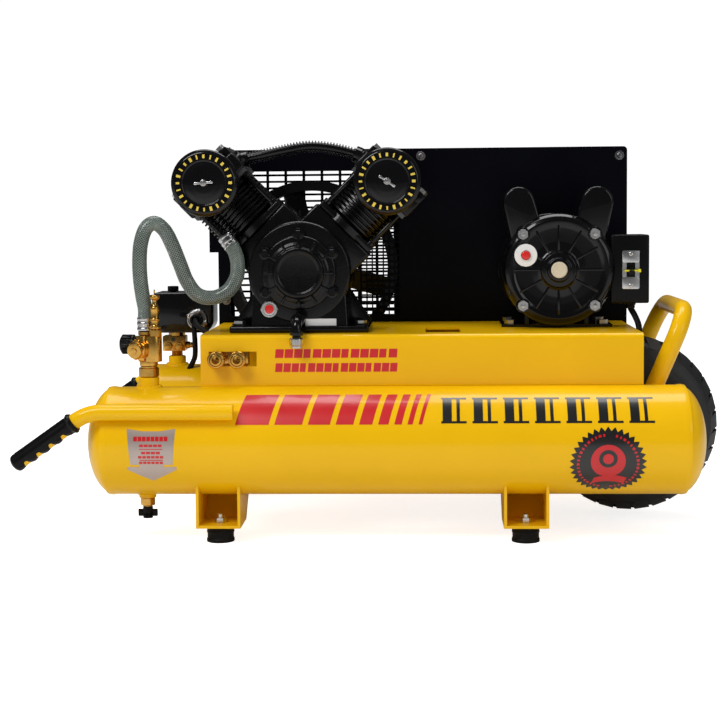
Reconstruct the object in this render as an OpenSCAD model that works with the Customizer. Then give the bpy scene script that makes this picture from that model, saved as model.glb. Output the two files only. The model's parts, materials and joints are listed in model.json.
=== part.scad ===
// Wheelbarrow air compressor: two horizontal tanks, a belt-driven V-twin pump,
// an electric motor, a belt guard, one wheel and two pairs of handles.
// Millimetres. X runs along the tanks, Y across them towards the belt guard, Z up.
// The origin is on the floor, under the centre of the whole machine.

/* [Overall] */
// Length from the grip tips to the tyre tread
overall_l = 1010; // [850:5:1220]
// Distance between the two tank axes
tank_spacing = 330; // [300:5:400]

/* [Tanks] */
// Outside diameter of each tank
tank_d = 152.4; // [127:0.1:183]
// Wall of the tanks
tank_wall = 2.8; // [2:0.1:4]
// Height of the tank axes above the floor
tank_z = 139; // [125:1:167]
// Left tank ends, measured from the grip tips
tank_left = 99; // [82:1:119]
// Right tank ends, measured from the tyre tread
tank_right = 45; // [37:1:54]

/* [Wheel and feet] */
// Diameter of the tyre
tyre_d = 262; // [218:1:290]
// Width of the tyre
tyre_w = 88; // [73:1:100]
// Gap between the tyre and the floor when the machine stands
tyre_clear = 10; // [5:1:20]
// Height of the rubber feet
foot_h = 22; // [18:1:27]
// Diameter of the rubber feet
foot_d = 39; // [32:1:47]
// Width of a foot bracket
bracket_w = 62; // [52:1:75]
// Thickness of the bracket sheet
bracket_t = 4; // [3:0.5:6]

/* [Saddle] */
// Length of the saddle
saddle_l = 624; // [560:2:700]
// Height of the saddle's top above the tank axes
saddle_h = 148; // [130:1:178]
// Thickness of the saddle sheet
saddle_t = 4; // [3:0.5:5]
// Right end of the saddle, measured from the tyre tread
saddle_right = 129; // [107:1:155]

/* [Pump] */
// Height of the crankshaft above the saddle
crank_h = 86; // [78:1:104]
// Cylinder bore
bore_d = 65; // [54:1:70]
// Piston stroke
stroke = 46; // [38:1:50]
// Reach of the cylinder heads from the crankshaft axis
head_reach = 205; // [195:1:246]
// Width of the square cylinder heads
head_w = 108; // [104:1:120]
// Diameter of the crankshaft
crank_d = 25; // [20:1:30]
// Diameter of the air filters
filter_d = 95; // [79:1:104]
// Diameter of the flywheel
flywheel_d = 274; // [240:2:274]

/* [Motor] */
// Distance between the crankshaft and the motor shaft
belt_centres = 375; // [345:1:390]
// Diameter of the motor shell
motor_d = 164; // [137:1:172]
// Diameter of the motor shaft
motor_shaft_d = 16; // [13:1:19]
// Diameter of the motor pulley
pulley_d = 82; // [68:1:98]

/* [Guard] */
// Height of the guard's top above the saddle
guard_h = 271; // [262:1:325]
// Depth of the guard from its front panel to its rear sheet
guard_depth = 90; // [76:1:108]
// Thickness of the guard's sheet
guard_t = 2; // [1.6:0.1:3]

/* [Handles] */
// Diameter of the carrying tubes
handle_d = 22.2; // [19:0.1:26]
// Diameter of the grips
grip_d = 26; // [25:0.1:31]
// Slope of the grips below the horizontal
grip_angle = 35; // [30:1:42]
// Diameter of the lifting handle's tube
lift_d = 25.4; // [21:0.1:30]

/* [Air line] */
// Diameter of the braided discharge hose
hose_d = 21; // [18:1:25]
// Diameter of the coupler sleeves
coupler_d = 24; // [20:1:28]
// Bore of the outlet couplers
coupler_bore = 11; // [9:0.5:13]

/* [Hidden] */
$fn = 64;

fit = 0.05;     // radial clearance of a pressed, threaded or running fit
gap = 0.4;      // clearance between parts that move past each other
seat = 0.1;     // clearance between welded or seated curved faces
eps = 1;        // overshoot of a cut

yellow = [0.98, 0.78, 0.08];
black = [0.05, 0.05, 0.06];
iron = [0.10, 0.10, 0.11];
steel = [0.72, 0.73, 0.75];
brass = [0.80, 0.62, 0.28];

// Ends and sides of the machine
x_left = -overall_l / 2;
x_right = overall_l / 2;
tank_y = tank_spacing / 2;
tank_r = tank_d / 2;
seam_rise = 0.9;
tank_x0 = x_left + tank_left;
tank_x1 = x_right - tank_right;
tank_mid = (tank_x0 + tank_x1) / 2;
dome = tank_r / 2;
bung_x = tank_x0 + 86;
bung_x_rear = tank_x0 + 72;
bung_r = 14;
bung_h = 14;
bung_bore = 9;
bung_top = tank_z + tank_r + bung_h;
drain_x = tank_x0 + 81;
drain_bung_r = 12;
drain_bung_h = 5;
drain_bore = 7;
drain_top = tank_z - tank_r - drain_bung_h;

// Saddle and guard faces
saddle_x1 = x_right - saddle_right;
saddle_x0 = saddle_x1 - saddle_l;
saddle_y0 = -(tank_y - 9);
saddle_y1 = tank_y - 62;
saddle_z = tank_z + saddle_h;
saddle_bend = 7;
slot_x0 = saddle_x0 + 12;
slot_w = 68;
slot_h = 21;
coupler_z = saddle_z - 34;
coupler_x = [saddle_x0 + 24, saddle_x0 + 54];

guard_x0 = saddle_x0 - 8;
guard_x1 = saddle_x1 + 9;
guard_y0 = saddle_y1;
guard_y1 = guard_y0 + guard_depth;
guard_z0 = tank_z + tank_r + 7;
guard_z1 = saddle_z + guard_h;

// Pump
pump_x = saddle_x0 + 138;
pump_y = saddle_y0 + 114;
crank_z = saddle_z + crank_h;
case_y0 = pump_y - 70;
case_y1 = pump_y + 70;
case_r = 74;
case_bore = 49;
deck_half = 39;
filler_y = case_y1 - 11;
case_wall = 14;
foot_plate = 10;
cover_t = 10;
cover_r = 53.5;
// Angles of the cover's ears from straight up; none at the bottom, where the drain passes
cover_bolts = [0, 60, 120, -60, -120];
cover_boss = 8;
bank_step = 8;
deck_r = 88;
barrel_r = 40;
fin_r = 49;
fin_t = 2.6;
fin_count = 6;
head_t = 41;
head_fin = 12;
plate_t = 6;
barrel_top = head_reach - head_t - plate_t;
crank_r = crank_d / 2;
web_r = 46;
web_gap = 42;
web_t = 12;
crank_bearing_r = 26;
filter_r = filter_d / 2;
filter_c = (head_reach - head_t / 2 - 2.5) / sqrt(2);
filter_y1 = pump_y - head_w / 2 - bank_step;
filter_depth = 44;
filter_lid = 12;
filter_left = [pump_x - filter_c, crank_z + filter_c];
filter_right = [pump_x + filter_c, crank_z + filter_c];

// Belt drive
motor_x = pump_x + belt_centres;
belt_y = guard_y0 + 36;
belt_w = 13;
belt_h = 9;
belt_inset = 1;
rim_w = 38;
pulley_w = 24;
fly_r = flywheel_d / 2;
pulley_r = pulley_d / 2;
fly_pitch = fly_r - belt_inset - belt_h / 2;
pulley_pitch = pulley_r - belt_inset - belt_h / 2;

// Motor
motor_r = motor_d / 2;
motor_y0 = saddle_y0 + 86;
bell_l = 25;
shell_l = 100;
shell_wall = 3;
motor_y1 = motor_y0 + 2 * bell_l + shell_l;
motor_bearing_r = 17;
motor_bearing_t = 10;
shaft_r = motor_shaft_d / 2;
base_w = 163;
through_bolt = 52;
reset_x = motor_x - 48;
reset_z = crank_z + 21.5;
reset_travel = 3;
reset_stem_r = 4;

// Switch box on the motor's side
box_x0 = motor_x + motor_r - 7;
box_x1 = box_x0 + 57;
box_y0 = motor_y0 + 10;
box_y1 = box_y0 + 62;
box_z0 = crank_z - 49;
box_z1 = crank_z + 50;
toggle_x = box_x0 + 30;
toggle_z = crank_z - 1;

// Wheel
tyre_r = tyre_d / 2;
wheel_x = x_right - tyre_r;
wheel_z = tyre_clear + tyre_r;
axle_r = 7.9;
hub_r = 21;
hub_bore = 16;
hub_w = 84;
rim_r = 51;
rim_in = 74;
axle_web_y = tank_y - tank_r - 26;

// Handles
handle_r = handle_d / 2;
grip_r = grip_d / 2;
handle_z = tank_z + 49;
handle_y = tank_y + sqrt(pow(tank_r + handle_r + seam_rise + seat, 2) - pow(handle_z - tank_z, 2));
handle_bend = 63;
handle_straight = 181;
grip_x1 = x_left + grip_r * sin(grip_angle);
grip_l = 108;
bend_x1 = grip_x1 + grip_l * cos(grip_angle);
bend_x0 = bend_x1 + handle_bend * sin(grip_angle);
bend_z1 = handle_z - handle_bend * (1 - cos(grip_angle));
lift_r = lift_d / 2;
lift_y = tank_y - 51.5;
lift_x = tank_x1 - 64;
lift_z = tank_z + 66;
lift_lean = 23;
lift_up = 120;
lift_bend = 45;

// Feet
foot_x = [saddle_x0 + 30, saddle_x0 + 457];
foot_y = tank_y + 25;
foot_r = foot_d / 2;
bracket_out = 50;

// Pressure switch and its manifold on the rear tank
switch_x0 = bung_x_rear - 31;
switch_x1 = switch_x0 + 94;
switch_y0 = tank_y - 30;
switch_y1 = tank_y + 32;
switch_z0 = bung_top + 39;
switch_z1 = switch_z0 + 65;
switch_knob_x = switch_x0 + 26;
gland_x = switch_x1 - 24;
gland_z = switch_z0 + 22;

// Fittings on the front tank
tee_z = bung_top + 40;
tee_front = -tank_y - 13;
tee_back = -tank_y + 13;
knob_r = 14;
knob_x0 = bung_x - 41;
knob_x1 = knob_x0 + 21;
hose_x = bung_x - 5;
// The hose and the regulator's knob stand behind the tee's axis, and the pilot valve in front of it
line_y = -tank_y + 5;
pilot_y = -tank_y - 8;
hose_z = tee_z + 41;
pilot_x = bung_x + 11;

// The two cords are drawn for the sizes above; their ends keep to their parts when a size changes
function follow(route, start, end) =
    [for (i = [0:len(route) - 1]) let (t = i / (len(route) - 1)) route[i] + (1 - t) * start + t * end];

// Discharge hose: from the elbow under the left head, down, up over an arch, to the tee
hose_route = follow([
    [-217, -98, 424], [-208, -102, 412], [-202, -105, 400], [-199, -107, 385], [-201, -109, 366],
    [-214, -112, 347], [-235, -115, 338], [-256, -120, 343], [-270, -125, 362], [-279, -130, 387],
    [-288, -136, 413], [-298, -142, 435], [-311, -147, 446], [-323, -152, 439], [-330, -156, 418],
    [-332, -158, 392], [-331, -159, 366], [-328, -160, 343], [-325, -160, 326], [-325, -160, 311]
], [pump_x + 110, pump_y + 42, crank_z - 373], [hose_x + 325, line_y + 160, tee_z - 269.2]);
// Lead from the switch box, down past the saddle's end, under it to the pressure switch
lead_d = 9;
lead_bore = lead_d / 2 + 2.1;
nozzle = 25;
lead_route = follow([
    [372, -34, 322], [373, -35, 315], [379, -41, 303], [383, -50, 290], [382, -58, 277],
    [375, -63, 267], [358, -65, 261], [330, -66, 260], [290, -64, 260], [250, -54, 260], [220, -34, 260],
    [196, -6, 261], [174, 26, 262], [152, 56, 264], [126, 78, 266], [92, 87, 267], [40, 88, 267],
    [-20, 88, 267], [-80, 88, 267], [-150, 88, 267], [-210, 88, 266], [-242, 88, 265],
    [-264, 90, 268], [-278, 92, 274], [-289, 97, 282], [-294, 104, 288], [-295, 114, 290]
], [box_x0 - 340, box_y0 + 60, box_z0 - 324], [gland_x + 295, switch_y0 - 135, gland_z - 290.2]);

// ---------- helpers ----------

// Points of an arc from angle a0 to a1 about (cx, cy)
function arc(cx, cy, r, a0, a1, n = 8) =
    [for (i = [0:n]) let (a = a0 + (a1 - a0) * i / n) [cx + r * cos(a), cy + r * sin(a)]];

// A rectangle with rounded corners, as points
function round_rect(x0, y0, x1, y1, r, n = 6) = concat(
    arc(x1 - r, y1 - r, r, 0, 90, n), arc(x0 + r, y1 - r, r, 90, 180, n),
    arc(x0 + r, y0 + r, r, 180, 270, n), arc(x1 - r, y0 + r, r, 270, 360, n));

function unit(v) = v / norm(v);

// A smooth curve through the points p, with k steps between neighbours
function smooth(p, k) = [
    for (i = [0:len(p) - 2])
        let (a = p[max(i - 1, 0)], b = p[i], c = p[i + 1], d = p[min(i + 2, len(p) - 1)])
        for (s = [0:k - 1]) let (t = s / k)
            0.5 * (2 * b + (c - a) * t + (2 * a - 5 * b + 4 * c - d) * t * t
                + (3 * b - a - 3 * c + d) * t * t * t),
    p[len(p) - 1]];

// A round tube of radius r swept along the points p
module sweep(p, r, sides) {
    n = len(p);
    rings = [for (i = [0:n - 1])
        let (t = unit(p[min(i + 1, n - 1)] - p[max(i - 1, 0)]),
            u = unit(cross(t, [0, 1, 0])),
            v = cross(t, u))
            for (j = [0:sides - 1]) let (a = 360 * j / sides) p[i] + r * (u * cos(a) + v * sin(a))];
    walls = [for (i = [0:n - 2]) for (j = [0:sides - 1])
        let (k = (j + 1) % sides)
            [i * sides + j, (i + 1) * sides + j, (i + 1) * sides + k, i * sides + k]];
    first = [for (j = [0:sides - 1]) j];
    last = [for (j = [sides - 1:-1:0]) (n - 1) * sides + j];
    polyhedron(points = rings, faces = concat(walls, [first, last]), convexity = 6);
}

// Cylinders along each axis, from one coordinate to another
module x_cyl(r, x0, x1, y, z) translate([x0, y, z]) rotate([0, 90, 0]) cylinder(r = r, h = x1 - x0);
module y_cyl(r, y0, y1, x, z) translate([x, y0, z]) rotate([-90, 0, 0]) cylinder(r = r, h = y1 - y0);
module z_cyl(r, z0, z1, x, y) translate([x, y, z0]) cylinder(r = r, h = z1 - z0);

// Hexagons, r across the corners
module y_hex(r, y0, y1, x, z)
    translate([x, y0, z]) rotate([-90, 0, 0]) rotate([0, 0, 30]) cylinder(r = r, h = y1 - y0, $fn = 6);
module z_hex(r, z0, z1, x, y) translate([x, y, z0]) cylinder(r = r, h = z1 - z0, $fn = 6);

// A flat outline in X and Z, as thick as y0 to y1; and one in Y and Z, from x0 to x1
module y_plate(y0, y1) translate([0, y1, 0]) rotate([90, 0, 0]) linear_extrude(y1 - y0) children();
module x_plate(x0, x1) translate([x0, 0, 0]) rotate([90, 0, 90]) linear_extrude(x1 - x0) children();

module box(x0, y0, z0, x1, y1, z1) translate([x0, y0, z0]) cube([x1 - x0, y1 - y0, z1 - z0]);

// The same thing on both sides of the machine
module both_sides() {
    children();
    mirror([0, 1, 0]) children();
}

// Both tanks as plain cylinders, to cut what is welded to them
module tank_cut() both_sides() x_cyl(tank_r + seat, tank_x0 - eps, tank_x1 + eps, -tank_y, tank_z);

// A cylinder bank: Z runs out from the crankshaft, side is -1 on the left and 1 on the right
module bank(side)
    translate([pump_x, pump_y + side * bank_step, crank_z]) rotate([0, side * 45, 0]) children();

module both_banks() {
    bank(-1) children();
    bank(1) children();
}

// ---------- tanks, feet, saddle and handles ----------

function tank_outline(r, half, d) = concat(
    [[0, half]], [for (a = [12:12:84]) [r * sin(a), half - d + d * cos(a)]], [[r, half - d]],
    [[r, d - half]], [for (a = [84:-12:12]) [r * sin(a), d - half - d * cos(a)]], [[0, -half]]);

module tank(side, top_x) {
    half = (tank_x1 - tank_x0) / 2;
    difference() {
        union() {
            translate([tank_mid, side * tank_y, tank_z]) rotate([0, 90, 0]) {
                rotate_extrude() polygon(tank_outline(tank_r, half, dome));
                for (s = [-1, 1]) translate([0, 0, s * (half - dome + 3) - 3.5])
                    cylinder(r = tank_r + seam_rise, h = 7);
            }
            z_cyl(bung_r, tank_z + tank_r - 8, bung_top, top_x, side * tank_y);
            z_cyl(drain_bung_r, drain_top, tank_z - tank_r + 7, drain_x, side * tank_y);
        }
        translate([tank_mid, side * tank_y, tank_z]) rotate([0, 90, 0])
            rotate_extrude()
                polygon(tank_outline(tank_r - tank_wall, half - tank_wall, dome - tank_wall / 2));
        z_cyl(bung_bore, tank_z, bung_top + eps, top_x, side * tank_y);
        z_cyl(drain_bore, drain_top - eps, tank_z, drain_x, side * tank_y);
    }
}

module front_tank() color(yellow) tank(-1, bung_x);
module rear_tank() color(yellow) tank(1, bung_x_rear);

// A folded bracket under one tank: two legs and a web that rises towards the inside
module foot_bracket(x) {
    z0 = foot_h - tank_z;
    leg = [[-bracket_out, z0], [20, z0], [60, z0 + 38], [60, 0], [-bracket_out, 0]];
    web = [[-bracket_out, z0], [20, z0], [60, z0 + 38], [57, z0 + 41], [18.5, z0 + bracket_t],
        [-bracket_out, z0 + bracket_t]];
    difference() {
        translate([0, -tank_y, tank_z]) union() {
            for (s = [-1, 1]) {
                edge = x + s * (bracket_w - bracket_t) / 2;
                x_plate(edge - bracket_t / 2, edge + bracket_t / 2) polygon(leg);
            }
            x_plate(x - bracket_w / 2 + eps, x + bracket_w / 2 - eps) polygon(web);
        }
        x_cyl(tank_r + seat, x - bracket_w, x + bracket_w, -tank_y, tank_z);
        z_cyl(5, foot_h - eps, foot_h + bracket_t + eps, x, -foot_y);
    }
}

module foot_brackets() color(yellow) both_sides() for (x = foot_x) foot_bracket(x);

module rubber_feet() color(black) both_sides() for (x = foot_x) difference() {
    z_cyl(foot_r, 0, foot_h, x, -foot_y);
    z_cyl(11, -eps, 9, x, -foot_y);
    z_cyl(5, 8, foot_h + eps, x, -foot_y);
}

// A bolt along Z with its hexagonal head at the top or the bottom, and a nut at the other end
module z_bolt(r, head, under, over, x, y) {
    z_cyl(r, under, over + eps, x, y);
    z_hex(head, over, over + head * 0.7, x, y);
}

pump_bolts = [for (x = [-88, 88], y = [-56, 56]) [pump_x + x, pump_y + y]];
motor_bolts = [for (x = [-68, 68], y = [50, 108]) [motor_x + x, motor_y0 + y]];
bolt_r = 4.4;
bolt_head = 8.5;

module fasteners() color(steel) {
    both_sides() for (x = foot_x) {
        z_hex(9, 3, 8.9, x, -foot_y);
        z_cyl(bolt_r, 8, foot_h + bracket_t + 12, x, -foot_y);
        z_hex(bolt_head, foot_h + bracket_t + fit, foot_h + bracket_t + 7, x, -foot_y);
    }
    for (p = pump_bolts) {
        z_bolt(bolt_r, bolt_head, saddle_z - 17, saddle_z + foot_plate + fit, p[0], p[1]);
        z_hex(bolt_head, saddle_z - saddle_t - 7, saddle_z - saddle_t - fit, p[0], p[1]);
    }
    for (p = motor_bolts) {
        z_bolt(bolt_r, bolt_head, saddle_z - 17, saddle_z + base_t + fit, p[0], p[1]);
        z_hex(bolt_head, saddle_z - saddle_t - 7, saddle_z - saddle_t - fit, p[0], p[1]);
    }
    for (x = [-through_bolt, through_bolt], z = [-through_bolt, through_bolt])
        y_hex(8, motor_y0 - 6, motor_y0 - fit, motor_x + x, crank_z + z);
}

// Cross-section of the saddle in Y and Z: a top plate with a deep flange on each side
function saddle_outline(t, below = 0) = let (r = max(saddle_bend - t, 1)) concat(
    [[saddle_y0 + t, tank_z - below]], arc(saddle_y0 + t + r, saddle_z - t - r, r, 180, 90, 4),
    arc(saddle_y1 - t - r, saddle_z - t - r, r, 90, 0, 4), [[saddle_y1 - t, tank_z - below]]);

module saddle() color(yellow) difference() {
    x_plate(saddle_x0, saddle_x1) difference() {
        polygon(saddle_outline(0));
        polygon(saddle_outline(saddle_t, eps));
    }
    tank_cut();
    box(slot_x0, saddle_y0 - eps, coupler_z - slot_h / 2,
        slot_x0 + slot_w, saddle_y0 + saddle_t + eps, coupler_z + slot_h / 2);
    box(saddle_x0 + 319, saddle_y0 + 36, saddle_z - saddle_t - eps,
        saddle_x0 + 369, saddle_y0 + 136, saddle_z + eps);
    for (p = concat(pump_bolts, motor_bolts))
        z_cyl(bolt_r + 0.3, saddle_z - saddle_t - eps, saddle_z + eps, p[0], p[1]);
}

module handle_tubes() color(yellow) both_sides() {
    x_cyl(handle_r, bend_x0, bend_x0 + handle_straight, -handle_y, handle_z);
    translate([bend_x0, -handle_y, handle_z - handle_bend]) rotate([90, 0, 0]) rotate([0, 0, 90])
        rotate_extrude(angle = grip_angle) translate([handle_bend, 0]) circle(r = handle_r);
    translate([bend_x1, -handle_y, bend_z1]) rotate([0, -90 - grip_angle, 0])
        cylinder(r = handle_r, h = grip_l - 6);
}

module grips() color(black) both_sides()
    translate([bend_x1, -handle_y, bend_z1]) rotate([0, -90 - grip_angle, 0]) difference() {
        union() {
            translate([0, 0, 2]) cylinder(r = grip_r, h = grip_l - 2);
            translate([0, 0, 2]) cylinder(r = grip_r + 2.5, h = 5);
        }
        translate([0, 0, -eps]) cylinder(r = handle_r + fit, h = grip_l - 5 + eps);
    }

module lift_handle() color(yellow) difference() {
    translate([lift_x, 0, lift_z]) rotate([0, lift_lean, 0]) union() {
        both_sides() {
            translate([0, -lift_y, -40]) cylinder(r = lift_r, h = 40 + lift_up - lift_bend);
            translate([0, -lift_y + lift_bend, lift_up - lift_bend]) rotate([0, -90, 0]) rotate([0, 0, -90])
                rotate_extrude(angle = 90) translate([lift_bend, 0]) circle(r = lift_r);
        }
        y_cyl(lift_r, -lift_y + lift_bend - 0.01, lift_y - lift_bend + 0.01, 0, lift_up);
    }
    tank_cut();
}

module axle_brackets() color(yellow) both_sides() difference() {
    y1 = -axle_web_y;
    union() {
        box(wheel_x - 32, y1 - 5, wheel_z - 26, wheel_x + 32, y1, wheel_z + 26);
        for (s = [-1, 1])
            box(wheel_x + s * 30 - 2.5, -tank_y + tank_r * 0.8, wheel_z - 26,
                wheel_x + s * 30 + 2.5, y1 - eps, wheel_z + 26);
    }
    tank_cut();
    y_cyl(axle_r + fit, y1 - 6, y1 + eps, wheel_x, wheel_z);
}

// ---------- wheel ----------

module wheel_axle() color(steel) {
    y_cyl(axle_r, -axle_web_y - 20, axle_web_y + 20, wheel_x, wheel_z);
    both_sides() {
        difference() {
            y_cyl(13, -axle_web_y + fit, -hub_w / 2 - gap, wheel_x, wheel_z);
            y_cyl(axle_r - 0.01, -axle_web_y - eps, -hub_w / 2, wheel_x, wheel_z);
        }
        y_hex(13.5, -axle_web_y - 16, -axle_web_y - 5 - fit, wheel_x, wheel_z);
    }
}

// Half outlines of the tyre and the rim: radius across, width up
module tyre() color(black) translate([wheel_x, 0, wheel_z]) rotate([90, 0, 0])
rotate_extrude() difference() {
    w = tyre_w / 2;
    polygon(concat([[rim_r + fit, -rim_in / 2]],
        arc(rim_r + 34, -w + 26, 26, 235, 270, 4), arc(tyre_r - 22, -w + 20, 20, 290, 340, 4),
        [[tyre_r, -w + 30], [tyre_r, w - 30]],
        arc(tyre_r - 22, w - 20, 20, 20, 70, 4), arc(rim_r + 34, w - 26, 26, 90, 125, 4),
        [[rim_r + fit, rim_in / 2], [rim_r + fit, rim_in / 2 - 8],
        [tyre_r - 30, w - 9], [tyre_r - 12, w - 26], [tyre_r - 12, -w + 26], [tyre_r - 30, -w + 9],
        [rim_r + fit, -rim_in / 2 + 8]]));
}

module wheel_rim() color(black) translate([wheel_x, 0, wheel_z]) rotate([90, 0, 0]) difference() {
    rotate_extrude() polygon([
        [hub_bore, -hub_w / 2], [hub_r, -hub_w / 2], [hub_r, -8],
        [rim_r - 9, -8], [rim_r - 9, -rim_in / 2 + 6],
        [rim_r + 6, -rim_in / 2 - 3], [rim_r + 6, -rim_in / 2 - fit],
        [rim_r, -rim_in / 2 - fit], [rim_r, -30],
        [rim_r - 6, -20], [rim_r - 6, 20], [rim_r, 30],
        [rim_r, rim_in / 2 + fit], [rim_r + 6, rim_in / 2 + fit],
        [rim_r + 6, rim_in / 2 + 3], [rim_r - 9, rim_in / 2 - 6], [rim_r - 9, 8], [hub_r, 8],
        [hub_r, hub_w / 2], [hub_bore, hub_w / 2]]);
    for (i = [0:4]) rotate([0, 0, i * 72]) translate([31, 0, -20]) cylinder(r = 5, h = 40);
}

// ---------- pump ----------

module crankcase() color(iron) difference() {
    union() {
        y_cyl(case_r, case_y0, case_y1, pump_x, crank_z);
        box(pump_x - 70, case_y0, saddle_z + 1, pump_x + 70, case_y1, crank_z);
        box(pump_x - 100, case_y0 - 14, saddle_z, pump_x + 100, case_y1, saddle_z + foot_plate);
        both_banks() translate([-54, -deck_half, 40]) cube([108, 2 * deck_half, deck_r - 40]);
    }
    y_cyl(case_bore, case_y0 - eps, case_y1 - case_wall, pump_x, crank_z);
    y_cyl(crank_bearing_r, case_y1 - case_wall - eps, case_y1 + eps, pump_x, crank_z);
    both_banks() cylinder(r = bore_d / 2 + 2, h = deck_r + eps);
    for (p = pump_bolts) z_cyl(bolt_r + 0.3, saddle_z - eps, saddle_z + foot_plate + eps, p[0], p[1]);
    y_cyl(4, case_y0 - eps, case_y0 + 20, pump_x, saddle_z + 20);
    y_cyl(8, case_y0 - eps, case_y0 + 12, pump_x - 43, saddle_z + 34);
    z_cyl(8, crank_z + case_r - 10, crank_z + case_r + 1, pump_x, filler_y);
}

module crankcase_cover() color(iron) {
    difference() {
        union() {
            y_cyl(cover_r, case_y0 - cover_t, case_y0 - fit, pump_x, crank_z);
            for (a = cover_bolts)
                rotate_about_crank(a) y_cyl(9, case_y0 - cover_t, case_y0 - fit, 0, cover_r + 2);
            y_cyl(36, case_y0 - cover_t - cover_boss, case_y0 - cover_t + eps, pump_x, crank_z);
        }
        y_cyl(crank_bearing_r, case_y0 - 12, case_y0 + eps, pump_x, crank_z);
    }
    for (a = cover_bolts) rotate_about_crank(a)
        y_hex(6.5, case_y0 - cover_t - 5, case_y0 - cover_t - fit, 0, cover_r + 2);
}

// Turns its children, drawn about the Y axis, to an angle about the crankshaft
module rotate_about_crank(a) translate([pump_x, 0, crank_z]) rotate([0, a, 0]) children();

module sight_bezel() color(steel) difference() {
    union() {
        y_hex(13.5, case_y0 - 7, case_y0 - fit, pump_x - 43, saddle_z + 34);
        y_cyl(7.9, case_y0 - eps, case_y0 + 10, pump_x - 43, saddle_z + 34);
    }
    y_cyl(9, case_y0 - 8, case_y0 - 3, pump_x - 43, saddle_z + 34);
}

module sight_window() color([0.8, 0.1, 0.08])
    y_cyl(8.9, case_y0 - 6, case_y0 - 3 - fit, pump_x - 43, saddle_z + 34);

// A drain pipe from the crankcase's front, over the saddle's edge, to a capped elbow
module oil_drain() color(black) {
    elbow_y = saddle_y0 - 11;
    z = saddle_z + 20;
    y_cyl(3.9, case_y0 - eps, case_y0 + 15, pump_x, z);
    y_cyl(7, elbow_y, case_y0 - fit, pump_x, z);
    translate([pump_x, elbow_y, z]) sphere(r = 10);
    z_cyl(9, z - 26, z, pump_x, elbow_y);
    z_hex(11, z - 38, z - 24, pump_x, elbow_y);
}

module oil_filler() color(black) {
    z_cyl(7.9, crank_z + case_r - 8, crank_z + case_r + 2, pump_x, filler_y);
    z_cyl(10, crank_z + case_r + 1, crank_z + case_r + 16, pump_x, filler_y);
}

crank_front = case_y0 - 8;
crank_back = belt_y + rim_w / 2 + 12;

module crankshaft() color(steel) {
    y_cyl(crank_r, crank_front, pump_y - web_gap / 2 - web_t + eps, pump_x, crank_z);
    y_cyl(crank_r, pump_y + web_gap / 2 + web_t - eps, crank_back, pump_x, crank_z);
    y_cyl(web_r, pump_y - web_gap / 2 - web_t, pump_y - web_gap / 2, pump_x, crank_z);
    y_cyl(web_r, pump_y + web_gap / 2, pump_y + web_gap / 2 + web_t, pump_x, crank_z);
    y_cyl(crank_r - 3, pump_y - web_gap / 2 - eps, pump_y + web_gap / 2 + eps, pump_x, crank_z);
    y_hex(14, belt_y + rim_w / 2 + 1, belt_y + rim_w / 2 + 10, pump_x, crank_z);
}

// A shielded bearing: two races joined by shields that sit back from the faces
module bearing(inner, outer, y0, t, x, z = crank_z) {
    wall = (outer - inner) / 3;
    translate([x, y0, z]) rotate([-90, 0, 0]) rotate_extrude() polygon([
        [inner, 0], [inner + wall, 0], [inner + wall, 1], [outer - wall, 1], [outer - wall, 0], [outer, 0],
        [outer, t], [outer - wall, t], [outer - wall, t - 1],
        [inner + wall, t - 1], [inner + wall, t], [inner, t]]);
}

module bearings() color(steel) {
    bearing(crank_r + fit, crank_bearing_r - fit, case_y0 - 11.9, 12, pump_x);
    bearing(crank_r + fit, crank_bearing_r - fit, case_y1 - case_wall, case_wall, pump_x);
    bearing(shaft_r + fit, motor_bearing_r - fit, motor_y0 + 8, motor_bearing_t, motor_x);
    bearing(shaft_r + fit, motor_bearing_r - fit, motor_y1 - 8 - motor_bearing_t, motor_bearing_t, motor_x);
    both_sides() bearing(axle_r + fit, hub_bore - fit, -hub_w / 2 + 1, 12, wheel_x, wheel_z);
}

piston_top = barrel_top - 12;
piston_l = 44;
rod_foot = web_r + 6;

module pistons() color(steel) both_banks() difference() {
    translate([0, 0, piston_top - piston_l]) cylinder(r = bore_d / 2 - fit, h = piston_l);
    translate([0, 0, piston_top - piston_l - eps]) cylinder(r = bore_d / 2 - 6, h = piston_l - 8);
    for (i = [0:2]) translate([0, 0, piston_top - 6 - i * 6]) difference() {
        cylinder(r = bore_d / 2 + 1, h = 2.2);
        translate([0, 0, -eps]) cylinder(r = bore_d / 2 - 1.5, h = 5);
    }
}

module con_rods() color(steel) both_banks() {
    translate([0, -6, rod_foot]) cube([6, 12, piston_top - 22 - rod_foot]);
    translate([-3, 6, rod_foot]) rotate([90, 0, 0]) cylinder(r = 5, h = 12);
    translate([0, 6, piston_top - 22]) rotate([90, 0, 0]) cylinder(r = 9, h = 12);
}

module cylinders() color(iron) both_banks() difference() {
    union() {
        translate([0, 0, deck_r]) cylinder(r = barrel_r, h = barrel_top - deck_r);
        translate([-50, -deck_half, deck_r + fit]) cube([100, 2 * deck_half, 9]);
        translate([0, 0, barrel_top - 7]) cylinder(r = fin_r + 2, h = 7 - fit);
        for (i = [1:fin_count])
            translate([0, 0, deck_r + 9 + i * (barrel_top - 16 - deck_r) / (fin_count + 1)])
                cylinder(r = fin_r, h = fin_t);
    }
    translate([0, 0, deck_r - eps]) cylinder(r = bore_d / 2, h = barrel_top - deck_r + 2 * eps);
}

module valve_plates() color(steel) both_banks()
    translate([-head_w / 2 + 3, -head_w / 2 + 3, barrel_top]) cube([head_w - 6, head_w - 6, plate_t]);

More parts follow.
